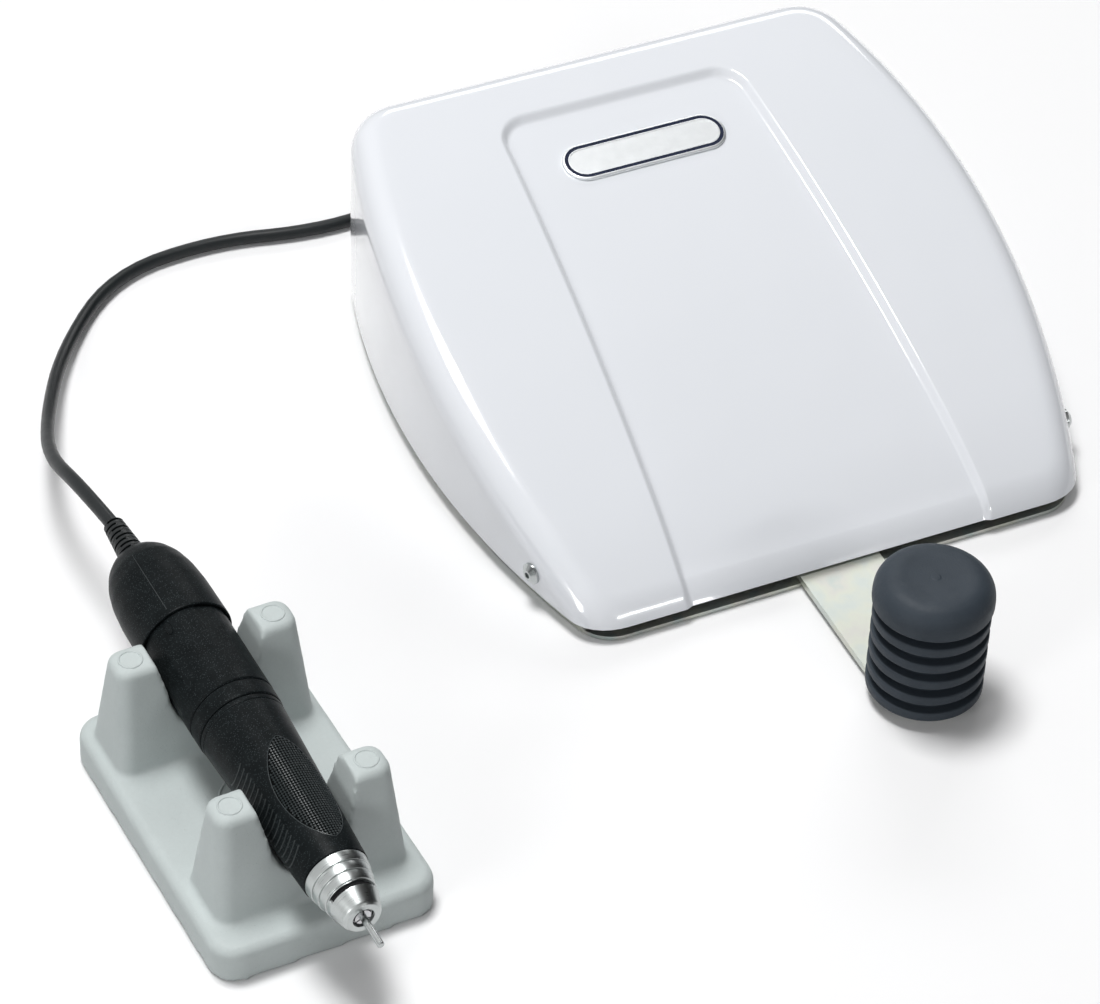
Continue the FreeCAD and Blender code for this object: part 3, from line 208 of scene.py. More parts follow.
def mesh_piece(name, points, faces, place=None, outward=True):
    """Mesh object from points in millimetres and faces, placed in its mesh."""
    mesh = bpy.data.meshes.new(name)
    mesh.from_pydata([Vector(p) * MM for p in points], [], faces)
    shape = bmesh.new()
    shape.from_mesh(mesh)
    bmesh.ops.remove_doubles(shape, verts=shape.verts, dist=1e-6)
    if outward:
        bmesh.ops.recalc_face_normals(shape, faces=shape.faces)
    if place is not None:
        bmesh.ops.transform(shape, matrix=place, verts=shape.verts)
    shape.to_mesh(mesh)
    shape.free()
    piece = bpy.data.objects.new(name, mesh)
    bpy.context.scene.collection.objects.link(piece)
    return piece


def turned(name, profile, place, steps=96, closed=False):
    """Piece of revolution about +Y from (along, radius) points, closed where the radius is 0."""
    points, faces, rings = [], [], []
    for along, radius in profile:
        if radius < 1e-6:
            rings.append([len(points)] * steps)
            points.append((0, along, 0))
            continue
        rings.append(list(range(len(points), len(points) + steps)))
        for k in range(steps):
            angle = 2 * math.pi * k / steps
            points.append((radius * math.sin(angle), along, radius * math.cos(angle)))
    for one, two in zip(rings, rings[1:] + ([rings[0]] if closed else [])):
        for k in range(steps):
            n = (k + 1) % steps
            face = list(dict.fromkeys((one[k], one[n], two[n], two[k])))
            if len(face) > 2:
                faces.append(face)
    return mesh_piece(name, points, faces, place)


def softened(profile, radius, steps=4):
    """Profile with its inner corners rounded; the radius is limited by the shorter side."""
    made = [profile[0]]
    for before, corner, after in zip(profile, profile[1:], profile[2:]):
        a, b, c = Vector(before), Vector(corner), Vector(after)
        reach = min(radius, 0.45 * (b - a).length, 0.45 * (c - b).length)
        if reach < 1e-4:
            made.append(corner)
            continue
        start, end = b + (a - b).normalized() * reach, b + (c - b).normalized() * reach
        for k in range(steps + 1):
            t = k / steps
            made.append(tuple(start * (1 - t) ** 2 + b * 2 * t * (1 - t) + end * t ** 2))
    made.append(profile[-1])
    return made


def cutter_box(name, low, high, radius=0.0, steps=4):
    """Box to cut with, its edges along Y rounded."""
    mesh = bpy.data.meshes.new(name)
    shape = bmesh.new()
    bmesh.ops.create_cube(shape, size=1)
    for vert in shape.verts:
        vert.co = Vector(((low[i] + high[i]) / 2 + vert.co[i] * (high[i] - low[i]) for i in range(3))) * MM
    if radius:
        edges = [e for e in shape.edges if abs((e.verts[0].co - e.verts[1].co).normalized().y) > 0.9]
        bmesh.ops.bevel(shape, geom=edges, offset=radius * MM, segments=steps, affect="EDGES", profile=0.5)
    shape.to_mesh(mesh)
    shape.free()
    piece = bpy.data.objects.new(name, mesh)
    bpy.context.scene.collection.objects.link(piece)
    return piece


def applied(piece):
    """Turn a piece with modifiers into its plain mesh."""
    graph = bpy.context.evaluated_depsgraph_get()
    mesh = bpy.data.meshes.new_from_object(piece.evaluated_get(graph))
    piece.modifiers.clear()
    piece.data = mesh
    return piece


def cut(piece, *tools):
    """Cut tools out of a piece."""
    for tool in tools:
        step = piece.modifiers.new("cut", "BOOLEAN")
        step.operation = "DIFFERENCE"
        step.solver = "EXACT"
        step.object = tool
        tool.hide_render = True
    applied(piece)
    for tool in tools:
        bpy.data.objects.remove(tool)
    return piece


def node_copy(name, node):
    """Copy of a CAD node's mesh, its loose triangles merged."""
    mesh = frame["nodes"][node].data.copy()
    shape = bmesh.new()
    shape.from_mesh(mesh)
    bmesh.ops.remove_doubles(shape, verts=shape.verts, dist=2e-6)
    shape.to_mesh(mesh)
    shape.free()
    piece = bpy.data.objects.new(name, mesh)
    bpy.context.scene.collection.objects.link(piece)
    return piece


# ------------------------------------------------------------------ frames of the groups
joints = {j["name"]: j for j in frame["joints"]}
hand_axis = -Vector(joints["spindle_spin"]["axis"]).normalized()
hand_start = Vector(joints["spindle_spin"]["pos_m"])
hand_side = hand_axis.cross(AXIS_Z).normalized()
hand_up = hand_side.cross(hand_axis).normalized()
HAND = Matrix((hand_side, hand_axis, hand_up)).transposed().to_4x4()
HAND.translation = hand_start
low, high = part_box("knob")
CRADLE = Matrix.Translation((-0.2251, -0.1366, 0)) @ Matrix.Rotation(math.radians(3.0), 4, "Z")
KNOB = Matrix(((1, 0, 0, (low.x + high.x) / 2), (0, 0, -1, (low.y + high.y) / 2), (0, 1, 0, low.z), (0, 0, 0, 1)))


# ------------------------------------------------------------------ camera
def camera():
    """Long lens from the front left, as the set is shown."""
    lens = bpy.data.cameras.new("view")
    lens.sensor_width = 36
    lens.lens = 152.4
    lens.clip_start, lens.clip_end = 0.05, 20
    seen = bpy.data.objects.new("view", lens)
    bpy.context.scene.collection.objects.link(seen)
    pitch, roll, yaw = math.radians(42.2), math.radians(-2.5), math.radians(26.2)
    forward = Vector((math.sin(yaw) * math.cos(pitch), math.cos(yaw) * math.cos(pitch), -math.sin(pitch)))
    level = Vector((math.cos(yaw), -math.sin(yaw), 0))
    down = forward.cross(level)
    right = level * math.cos(roll) + down * math.sin(roll)
    below = down * math.cos(roll) - level * math.sin(roll)
    turn = Matrix((right, -below, -forward)).transposed().to_4x4()
    turn.translation = Vector((-0.5955, -1.0908, 1.069))
    seen.matrix_world = turn
    bpy.context.scene.camera = seen


camera()


# ------------------------------------------------------------------ finishes
def gloss_white():
    """Thermoformed white sheet: deep gloss with a faint ripple."""
    made = Finish("cover_white", (0.80, 0.82, 0.85), 0.14, Coat_Weight=0.8, Coat_Roughness=0.03)
    made.tint(made.noise(70), (0.815, 0.835, 0.875), (0.785, 0.81, 0.85))
    made.spread(made.noise(14), 0.10, 0.20)
    made.relief(made.noise(38, 1) + made.noise(2.2, 2) * 0.02, 0.32)
    return made.material


def zinc_sheet():
    """Zinc-plated steel with a passivated, slightly iridescent film and rolling marks."""
    made = Finish("zinc_steel", (0.72, 0.71, 0.66), 0.34, 0.92)
    film = made.node("ShaderNodeValToRGB", {"stops": [
        (0.0, (0.46, 0.50, 0.49)), (0.38, (0.54, 0.58, 0.55)), (0.5, (0.58, 0.60, 0.53)),
        (0.6, (0.57, 0.57, 0.53)), (0.72, (0.46, 0.53, 0.51)), (1.0, (0.54, 0.58, 0.55))]},
        made.noise(16, 3))
    made.feed("Base Color", film)
    marks = made.node("ShaderNodeMapping", {}, Vector=made.place, Scale=(1, 0.03, 1))
    rolled = made.noise(0.35, 2, 0.5, marks)
    made.spread(made.noise(6) * 0.6 + rolled * 0.4, 0.24, 0.52)
    made.relief(rolled + made.noise(3) * 0.4, 0.012)
    return made.material


def knob_rubber():
    """Dark slate rubber with a dull bloom and a moulded grain."""
    made = Finish("knob_rubber", (0.028, 0.038, 0.050), 0.5, Specular_IOR_Level=0.22)
    bloom = made.noise(9, 4)
    made.tint(bloom, (0.044, 0.056, 0.070), (0.028, 0.037, 0.048))
    made.spread(made.noise(2.5), 0.44, 0.66)
    made.relief(made.grain(0.55) * 0.5 + made.noise(1.4), 0.05)
    return made.material


def cradle_rubber():
    """Pale grey silicone rubber, matt with fine pits and flow shades."""
    made = Finish("cradle_rubber", (0.53, 0.58, 0.575), 0.62)
    shades = made.noise(22, 4) * 0.7 + made.noise(1.1, 2) * 0.3
    made.tint(shades, (0.58, 0.635, 0.63), (0.46, 0.51, 0.505))
    made.spread(made.noise(5), 0.50, 0.72)
    pits = made.grain(1.6) < 0.16
    made.relief(made.noise(0.8, 3) * 0.6 - pits * 0.5, 0.08)
    return made.material


def black_moulding(name, light, dark, rough, grain, specular=0.06):
    """Black moulded plastic with a spark-eroded grain."""
    made = Finish(name, light, rough[0], Specular_IOR_Level=specular)
    specks = made.grain(0.6) < 0.24
    made.tint(made.noise(5, 5) * 0.25 + specks * 0.75, light, dark)
    made.spread(made.noise(3.5), *rough)
    made.relief(made.noise(0.55, 3) + made.grain(0.4) * 0.4, grain)
    return made.material


def turned_metal(name, light, dark, rough, ring=0.35, place=None):
    """Bright turned metal with fine rings round its axis."""
    made = Finish(name, light, rough[0], 1.0)
    where = made.turned_place(place) if place is not None else made.place
    rings = made.node("ShaderNodeMapping", {}, Vector=where, Scale=(0.05, 1, 0.05))
    cuts = made.noise(ring, 2, 0.6, rings)
    made.tint(made.noise(6) * 0.5 + cuts * 0.5, light, dark)
    made.spread(cuts, *rough)
    made.relief(cuts, 0.012)
    return made.material


def plain_metal(name, light, dark, rough):
    """Machined or rolled metal with faint cloudiness."""
    made = Finish(name, light, rough[0], 1.0)
    made.tint(made.noise(4, 4), light, dark)
    made.spread(made.noise(1.5), *rough)
    made.relief(made.noise(0.5, 3), 0.01)
    return made.material


def cord_jacket():
    """Black soft PVC jacket, slightly glossy, with handling marks."""
    made = Finish("cord_rubber", (0.010, 0.012, 0.013), 0.34, Specular_IOR_Level=0.35)
    made.tint(made.noise(12), (0.012, 0.015, 0.016), (0.006, 0.008, 0.009))
    made.spread(made.noise(4), 0.30, 0.50)
    made.relief(made.noise(1.2, 3), 0.03)
    return made.material


def navy_border():
    """Lacquered dark blue border of the plate."""
    made = Finish("badge_navy", (0.012, 0.018, 0.045), 0.25, Coat_Weight=0.5)
    made.tint(made.noise(3), (0.015, 0.022, 0.055), (0.009, 0.014, 0.036))
    return made.material


def board_lacquer():
    """Green lacquered board with copper tracks under the lacquer."""
    made = Finish("board_green", (0.03, 0.16, 0.07), 0.35)
    tracks = made.node("ShaderNodeTexBrick", {}, Vector=made.place, Scale=160.0, out="Fac")
    made.tint(tracks, (0.05, 0.23, 0.09), (0.025, 0.13, 0.055))
    made.relief(tracks, 0.05)
    return made.material


def wound_tape():
    """Yellow tape wound round the transformer."""
    made = Finish("tape_yellow", (0.70, 0.55, 0.16), 0.45)
    laps = made.node("ShaderNodeTexWave", {}, Vector=made.place, Scale=60.0, Distortion=2.0)
    made.tint(laps, (0.75, 0.60, 0.20), (0.58, 0.44, 0.11))
    made.relief(laps, 0.1)
    return made.material


white = gloss_white()
zinc = zinc_sheet()
slate = knob_rubber()
grey_rubber = cradle_rubber()
hand_black = black_moulding("hand_black", (0.040, 0.050, 0.053), (0.0016, 0.0026, 0.0030), (0.32, 0.48), 0.03)
black = black_moulding("black_plastic", (0.020, 0.021, 0.022), (0.011, 0.011, 0.012), (0.38, 0.55), 0.02)
# lighter copy of the handpiece's black plastic: painted glints on the knurl's pyramid tips and the field's edge line
tip_glint_black = black_moulding("grip_tips", (0.060, 0.071, 0.073), (0.024, 0.031, 0.033), (0.22, 0.34), 0.0, 0.4)
# lighter copy of the handpiece's black plastic: painted highlight on the grip's ribs and the cap's parting line
rib_highlight_black = black_moulding("grip_ribs", (0.046, 0.055, 0.057), (0.018, 0.023, 0.024), (0.26, 0.38), 0.0, 0.28)
# darker copy of the handpiece's black plastic: painted shade between the knurl's pyramids
field_shade_black = black_moulding("grip_field", (0.004, 0.005, 0.0055), (0.0015, 0.002, 0.002), (0.5, 0.7), 0.0, 0.02)
pad_black = black_moulding("pad_rubber", (0.035, 0.035, 0.036), (0.022, 0.022, 0.023), (0.6, 0.8), 0.05)
carbon = black_moulding("carbon", (0.04, 0.04, 0.042), (0.02, 0.02, 0.021), (0.5, 0.7), 0.02)
jacket = cord_jacket()
nose_metal = turned_metal("nickel", (0.56, 0.585, 0.58), (0.38, 0.405, 0.40), (0.22, 0.38), 0.35, HAND)
steel = plain_metal("steel", (0.60, 0.60, 0.61), (0.48, 0.48, 0.49), (0.24, 0.40))
bright = plain_metal("bright_steel", (0.50, 0.52, 0.52), (0.40, 0.42, 0.42), (0.16, 0.28))
aluminium = plain_metal("aluminium", (0.74, 0.75, 0.76), (0.64, 0.65, 0.66), (0.30, 0.45))
bronze = plain_metal("bronze", (0.72, 0.50, 0.27), (0.60, 0.40, 0.20), (0.28, 0.42))
copper = plain_metal("copper", (0.72, 0.36, 0.19), (0.58, 0.27, 0.13), (0.26, 0.42))
navy = navy_border()
finishes = {"cover_white": white, "zinc_steel": zinc, "bright_steel": bright, "steel": steel,
            "knob_rubber": slate, "cradle_rubber": grey_rubber, "cord_rubber": jacket,
            "hand_black": hand_black, "black_plastic": black, "pad_rubber": pad_black,
            "aluminium": aluminium, "bronze": bronze, "copper": copper, "nickel": nose_metal,
            "board_green": board_lacquer(), "tape_yellow": wound_tape(), "carbon": carbon}
for part in frame["record"]["subparts"]:
    for held in frame["nodes"][part["node"]].material_slots:
        held.material = finishes[part["material_slot"]]


# ------------------------------------------------------------------ lead
LEAD_DIAMETER = 4.8
LAYER_RISE = 4.85      # one layer of turns above the other
FLOOR_LINE = 2.5       # height of the lead's middle where it lies on the bench


def coil_turns(centre, low):
    """Points of the put-away turns: two beside each other, then two on top of them."""
    turns = []
    per_turn = 14
    radii, layers = (26.9, 22.0, 22.0, 26.9, 26.9), (0, 0, 1, 1, 1)
    start = math.radians(-107)
    for index in range(51):
        turn = index / per_turn
        angle = start + 2 * math.pi * turn
        place = int(turn)
        share = min(1.0, max(0.0, (turn - place - 0.8) / 0.2))
        radius = radii[place] + (radii[place + 1] - radii[place]) * share
        layer = layers[place] + (layers[place + 1] - layers[place]) * share
        turns.append((centre[0] + radius * math.cos(angle), centre[1] + radius * math.sin(angle),
                      low + LAYER_RISE * layer))
    return turns


def lead():
    """The whole lead: from the handpiece over the floor, round its coil and up to the plug."""
    low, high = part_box("cord_coil")
    centre = ((low.x + high.x) / 2 / MM, (low.y + high.y) / 2 / MM)
    floor = FLOOR_LINE
    port = HAND @ Vector((0, 187.3 * MM, 0))
    laid = [(-234.0, -5, 39.5), (-234.5, 24, 28.0), (-223.5, 58, 14.0), (-203.5, 99.5, 4.2), (-172, 134.5, floor),
            (-131, 139.5, floor), (-94, 130.5, floor), (-62, 133, floor), (-28, 126, floor), (7, 116.5, floor)]
    up = [(18, 171, 7.3), (-3.5, 165, 16.5), (-12, 155, 24.2), (-15.5, 144, 28.0), (-15.5, 131.7, 28.0)]
    points = [port] + [Vector(p) * MM for p in laid + coil_turns(centre, floor) + up]
    data = bpy.data.curves.new("lead_line", "CURVE")
    data.dimensions = "3D"
    data.resolution_u = 6
    spline = data.splines.new("NURBS")
    spline.points.add(len(points) - 1)
    for place, point in zip(spline.points, points):
        place.co = (*point, 1)
    spline.order_u = 3
    spline.use_endpoint_u = True
    holder = bpy.data.objects.new("lead_line", data)
    bpy.context.scene.collection.objects.link(holder)
    graph = bpy.context.evaluated_depsgraph_get()
    line = bpy.data.meshes.new_from_object(holder.evaluated_get(graph))
    path = [v.co.copy() for v in line.vertices]
    bpy.data.objects.remove(holder)
    return path


def swept(name, path, radius, sides=14):
    """Round tube along a path, closed at its ends."""
    points, faces = [], []
    side = AXIS_Z.cross(path[1] - path[0]).normalized()
    for index, point in enumerate(path):
        ahead = path[min(index + 1, len(path) - 1)] - path[max(index - 1, 0)]
        ahead.normalize()
        side = (side - ahead * side.dot(ahead)).normalized()
        up = ahead.cross(side)
        for k in range(sides):
            angle = 2 * math.pi * k / sides
            points.append((point + (side * math.cos(angle) + up * math.sin(angle)) * radius) / MM)
    for index in range(len(path) - 1):
        for k in range(sides):
            n = (k + 1) % sides
            a, b = index * sides, (index + 1) * sides
            faces.append((a + k, b + k, b + n, a + n))
    faces.append(tuple(range(sides)))
    faces.append(tuple(reversed(range(len(points) - sides, len(points)))))
    return mesh_piece(name, points, faces)


lead_path = lead()
lead_piece = swept("lead", lead_path, LEAD_DIAMETER / 2 * MM)
lead_piece.data.materials.append(jacket)
shade(lead_piece.data)
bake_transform(lead_piece)
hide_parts("handpiece_cord", "cord_coil", "cord_end")


# ------------------------------------------------------------------ cover
HALF_DEPTH, SIDE_RADIUS, SIDE_CENTRE = 107.0, 320.0, 210.0
REAR_CORNER, FRONT_CORNER, EDGE = 20.0, 17.0, 10.5
COVER_FLOOR, COVER_WALL = 5.6, 3.0


def roof(y):
    """Height of the roof line along the box: a long flat arc that turns down faster in front."""
    slope = math.radians(7.7)
    long_radius, knee, short_radius = 680.0, -70.0, 200.0
    centre_y = HALF_DEPTH + long_radius * math.sin(slope)
    centre_z = 77.0 - long_radius * math.cos(slope)
    if y > knee:
        return centre_z + math.sqrt(long_radius ** 2 - (y - centre_y) ** 2)
    share = (knee - centre_y) / long_radius
    level = centre_z + math.sqrt(long_radius ** 2 - (knee - centre_y) ** 2)
    near_y = knee - short_radius * share
    near_z = level - short_radius * math.sqrt(1 - share ** 2)
    return near_z + math.sqrt(max(1.0, short_radius ** 2 - (y - near_y) ** 2))


def half_width(y, inset):
    """Half width of the plan at y, inside its outline by inset, and the outline's outward direction."""
    rear_x = -SIDE_CENTRE + math.sqrt((SIDE_RADIUS - REAR_CORNER) ** 2 - (HALF_DEPTH - REAR_CORNER) ** 2)
    front_x = -SIDE_CENTRE + math.sqrt((SIDE_RADIUS - FRONT_CORNER) ** 2 - (HALF_DEPTH - FRONT_CORNER) ** 2)
    for x, y0, corner, sign in ((rear_x, HALF_DEPTH - REAR_CORNER, REAR_CORNER, 1),
                                (front_x, FRONT_CORNER - HALF_DEPTH, FRONT_CORNER, -1)):
        reach = corner - inset
        tangent = y0 + reach * y0 / (SIDE_RADIUS - corner)
        if (y - tangent) * sign > 0:
            up = max(-1.0, min(1.0, (y - y0) / reach))
            return x + reach * math.sqrt(1 - up * up), (math.sqrt(1 - up * up), up)
    radius = SIDE_RADIUS - inset
    across = math.sqrt(radius ** 2 - y ** 2)
    return across - SIDE_CENTRE, (across / radius, y / radius)


def panel_sink(x, y):
    """How deep the centre panel lies under the roof at a point."""
    share = (80.0 - y) / (80.0 + HALF_DEPTH)
    half = 45.0 + 11.0 * share
    corner = 9.0
    dx, dy = abs(x) - (half - corner), y - (80.0 - corner)
    outside = math.hypot(max(dx, 0), max(dy, 0)) + min(max(dx, dy), 0) - corner
    rise = min(1.0, max(0.0, (outside + 0.4) / 3.0))
    fade = math.sin(min(1.0, max(0.0, (y + HALF_DEPTH) / 16.0)) * math.pi / 2)
    return 2.4 * fade * (1 - rise * rise * (3 - 2 * rise))


def cover_rows():
    """Places along the box of the roof's rows, closer at its corners and the panel's rear edge."""
    rows = []
    reach = FRONT_CORNER - EDGE
    rows += [FRONT_CORNER - HALF_DEPTH - reach * math.cos(math.pi / 2 * k / 8) for k in range(8)]
    span = [FRONT_CORNER - HALF_DEPTH + k * 3.6 for k in range(44)]
    rows += [y for y in span if y < 66]
    rows += [66 + 0.6 * k for k in range(32)]
    reach = REAR_CORNER - EDGE
    rows += [HALF_DEPTH - REAR_CORNER + reach * math.sin(math.pi / 2 * k / 9) for k in range(10)]
    return sorted(set(round(y, 4) for y in rows))


def cover_columns(y, edge):
    """Places across the box at a row, from the middle to the rounded edge."""
    step = 45.0 + 11.0 * (80.0 - y) / (80.0 + HALF_DEPTH)
    near, past = step - 12, step + 4
    columns = [near * k / 8 for k in range(8)]
    columns += [near + (step - 1 - near) * k / 14 for k in range(14)]
    columns += [step - 1 + (past - step + 1) * k / 12 for k in range(12)]
    columns += [past + (edge - past) * k / 10 for k in range(11)]
    return columns


def cover_skin():
    """Outer skin of the cover: the roof with its sunk panel, the rounded edge and the walls."""
    points, faces, grid, ring = [], [], [], []
    rows = cover_rows()
    for y in rows:
        edge, _ = half_width(y, EDGE)
        columns = cover_columns(y, edge)
        columns = [-x for x in reversed(columns[1:])] + columns
        grid.append(list(range(len(points), len(points) + len(columns))))
        points += [(x, y, roof(y) - panel_sink(x, y)) for x in columns]
    for one, two in zip(grid, grid[1:]):
        faces += [(one[k], one[k + 1], two[k + 1], two[k]) for k in range(len(one) - 1)]
    ring += [(index, (0, -1)) for index in grid[0]]
    ring += [(row[-1], half_width(y, EDGE)[1]) for row, y in zip(grid[1:-1], rows[1:-1])]
    ring += [(index, (0, 1)) for index in reversed(grid[-1])]
    left = [(row[0], half_width(y, EDGE)[1]) for row, y in zip(grid[1:-1], rows[1:-1])]
    ring += [(index, (-way[0], way[1])) for index, way in reversed(left)]
    loops = [[index for index, _ in ring]]
    profiles = [edge_profile(points[index], way) for index, way in ring]
    for level in range(len(profiles[0])):
        loops.append(list(range(len(points), len(points) + len(ring))))
        points += [profile[level] for profile in profiles]
    for one, two in zip(loops, loops[1:]):
        for k in range(len(one)):
            n = (k + 1) % len(one)
            faces.append((one[k], two[k], two[n], one[n]))
    return mesh_piece("cover_shell", points, faces)


def edge_profile(start, way):
    """Points down the rounded edge and the wall from a point on the roof's rim."""
    x, y, _ = start
    sink = panel_sink(x, y)

    def at(angle):
        out = EDGE * math.sin(angle)
        here_y = y + way[1] * out
        return (x + way[0] * out, here_y, roof(here_y) - EDGE * (1 - math.cos(angle)) - sink * math.cos(angle))

    low, high = 0.0, math.pi / 2
    if at(high)[2] < COVER_FLOOR:
        for _ in range(30):
            middle = (low + high) / 2
            low, high = (middle, high) if at(middle)[2] > COVER_FLOOR else (low, middle)
    made = [at(high * k / 12) for k in range(1, 13)]
    last = made[-1]
    drop = max(0.0, last[2] - COVER_FLOOR)
    made += [(last[0], last[1], last[2] - drop * k / 6) for k in range(1, 7)]
    return made


def cover():
    """Moulded cover with its wall and rear window; the inner rim ends level."""
    shell = cover_skin()
    wall = shell.modifiers.new("wall", "SOLIDIFY")
    wall.thickness = COVER_WALL * MM
    wall.offset = -1
    wall.use_even_offset = True
    wall.use_quality_normals = True
    applied(shell)
    for vert in shell.data.vertices:      # the inner rim ends level, clear of the lever
        vert.co.z = max(vert.co.z, COVER_FLOOR * MM)
    window = cutter_box("window", (-70, 98, 9), (70, 112, 52), 2.0)
    cut(shell, window)
    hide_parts("cover")
    return finish_piece(shell, white, "control_box", 32)


cover()


# ------------------------------------------------------------------ plate and grip details
def oval(half, radius, height, count=24):
    """Loop of an oval lying level."""
    loop = []
    for sign in (1, -1):
        for k in range(count + 1):
            angle = -math.pi / 2 + math.pi * k / count
            loop.append((sign * (half + radius * math.cos(angle)), sign * radius * math.sin(angle), height))
    return loop


def oval_plate(name, levels, place):
    """Plate built of oval loops (inset, height) from its foot over its rim to its middle."""
    points, faces, loops = [], [], []
    for inset, height in levels:
        loop = oval(23.0, 8.0 - inset, height)
        loops.append(list(range(len(points), len(points) + len(loop))))
        points += loop
    for one, two in zip(loops, loops[1:]):
        for k in range(len(one)):
            n = (k + 1) % len(one)
            faces.append((one[k], one[n], two[n], two[k]))
    faces.append(tuple(loops[-1]))
    faces.append(tuple(reversed(loops[0])))
    return mesh_piece(name, points, faces, place)


def badge():
    """Blank oval plate: a thin bright edge, a dark blue border and a satin field."""
    y = 57.0
    tilt = math.atan((roof(y + 1) - roof(y - 1)) / 2)
    place = Matrix.Translation(Vector((0, y, roof(y) - 2.42)) * MM) @ Matrix.Rotation(tilt, 4, "X")
    plate = oval_plate("badge", [(0, 0), (0, 0.75), (0.12, 1.02), (0.35, 1.15), (0.8, 1.18), (0.85, 1.0),
                                 (2.1, 0.98), (2.15, 1.16), (2.5, 1.18), (2.65, 1.02)], place)
    border = oval_plate("badge_border", [(0.84, 0.6), (0.84, 1.08), (2.12, 1.08), (2.12, 0.6)], place)
    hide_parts("badge_plate")
    finish_piece(plate, plain_metal("badge_silver", (0.80, 0.82, 0.83), (0.70, 0.72, 0.73), (0.38, 0.50)),
                 "control_box")
    finish_piece(border, navy, "control_box")


badge()


class Growth(Net):
    """A geometry tree with named sizes, run once on a piece."""

    def __init__(self, name):
        super().__init__(bpy.data.node_groups.new(name, "GeometryNodeTree"))
        self.tree.interface.new_socket("Geometry", in_out="INPUT", socket_type="NodeSocketGeometry")
        self.tree.interface.new_socket("Geometry", in_out="OUTPUT", socket_type="NodeSocketGeometry")
        self.start = self.tree.nodes.new("NodeGroupInput")

    def size(self, name, value, kind="NodeSocketFloat"):
        """Named size of the tree, as a wire."""
        socket = self.tree.interface.new_socket(name, in_out="INPUT", socket_type=kind)
        socket.default_value = value
        return Wire(self, self.start.outputs[name])

    def wrapped(self, solid, start, radius, taper, middle):
        """Wrap level geometry (x across, y along) round a taper of the handpiece."""
        place = self.node("GeometryNodeInputPosition", {})
        split = self.node("ShaderNodeSeparateXYZ", {}, place).socket.node
        across, along, rise = (Wire(self, split.outputs[k]) for k in range(3))
        here = radius + along * taper
        angle = across / here + middle
        out = here + rise
        sine = self.node("ShaderNodeMath", {"operation": "SINE"}, angle)
        cosine = self.node("ShaderNodeMath", {"operation": "COSINE"}, angle)
        round_place = self.node("ShaderNodeCombineXYZ", {}, out * sine, along + start, out * cosine)
        return self.node("GeometryNodeSetPosition", {}, solid, Position=round_place)

    def grow(self, name, shape, material, place):
        """Close the tree and return its plain mesh, set in its place."""
        painted = self.node("GeometryNodeSetMaterial", {}, shape, Material=material)
        end = self.tree.nodes.new("NodeGroupOutput")
        self.tree.links.new(painted.socket, end.inputs[0])
        piece = bpy.data.objects.new(name, bpy.data.meshes.new(name))
        bpy.context.scene.collection.objects.link(piece)
        step = piece.modifiers.new("growth", "NODES")
        step.node_group = self.tree
        applied(piece)
        piece.data.transform(place)
        return piece


def grip_radius(along):
    """Outer radius of the grip sleeve."""
    return 10.9 + (14.35 - 10.9) * (along - 19.1) / (87 - 19.1)


FIELD_START, FIELD_LENGTH, FIELD_WIDTH, FIELD_ANGLE = 46.5, 43.5, 19.5, math.radians(12)
FIELD_FULLNESS = 0.72


def field_half(share):
    """Half width of the leaf-shaped field at a share of its half length."""
    return FIELD_WIDTH / 2 * max(0.0, 1 - share * share) ** FIELD_FULLNESS


def knurl():
    """Leaf-shaped field of small pyramids on the right of the grip."""
    tree = Growth("knurl")
    length, width = tree.size("Length", FIELD_LENGTH * MM), tree.size("Width", FIELD_WIDTH * MM)
    peak = tree.size("Peak", 0.45 * MM)
    field = tree.node("GeometryNodeMeshGrid", {}, width, length, 21, 44)
    place = tree.node("GeometryNodeInputPosition", {})
    split = tree.node("ShaderNodeSeparateXYZ", {}, place).socket.node
    across, along = Wire(tree, split.outputs[0]), Wire(tree, split.outputs[1])
    share = along / (length * 0.5)
    leaf = width * 0.5 * (1 - share * share) ** FIELD_FULLNESS
    edge = tree.node("ShaderNodeMath", {"operation": "ABSOLUTE"}, across) + 0.55 * MM
    kept = tree.node("GeometryNodeDeleteGeometry", {"domain": "POINT"}, field, Selection=edge > leaf)
    cone = tree.node("GeometryNodeMeshCone", {}, 4, 1, 1, 0.12 * MM, 0.66 * MM, peak)
    spread = tree.node("GeometryNodeInstanceOnPoints", {}, kept, Instance=cone)
    solid = tree.node("GeometryNodeRealizeInstances", {}, spread)
    wrap = tree.wrapped(solid, FIELD_START * MM, grip_radius(FIELD_START) * MM - 0.1 * MM, 0.0508, FIELD_ANGLE)
    # lighter black: painted glints on the pyramid tips
    return tree.grow("knurl", wrap, tip_glint_black, HAND)


def field_edge():
    """Thin raised line round the leaf-shaped field."""
    loop = []
    for k in range(72):
        share = math.cos(2 * math.pi * k / 72)
        side = 1 if k < 36 else -1
        along = FIELD_START + FIELD_LENGTH / 2 * share
        here = grip_radius(along) + 0.02
        angle = FIELD_ANGLE + side * field_half(share) / here
        loop.append(HAND @ (Vector((here * math.sin(angle), along, here * math.cos(angle))) * MM))
    return swept("field_edge", loop + loop[:1], 0.17 * MM, 8)


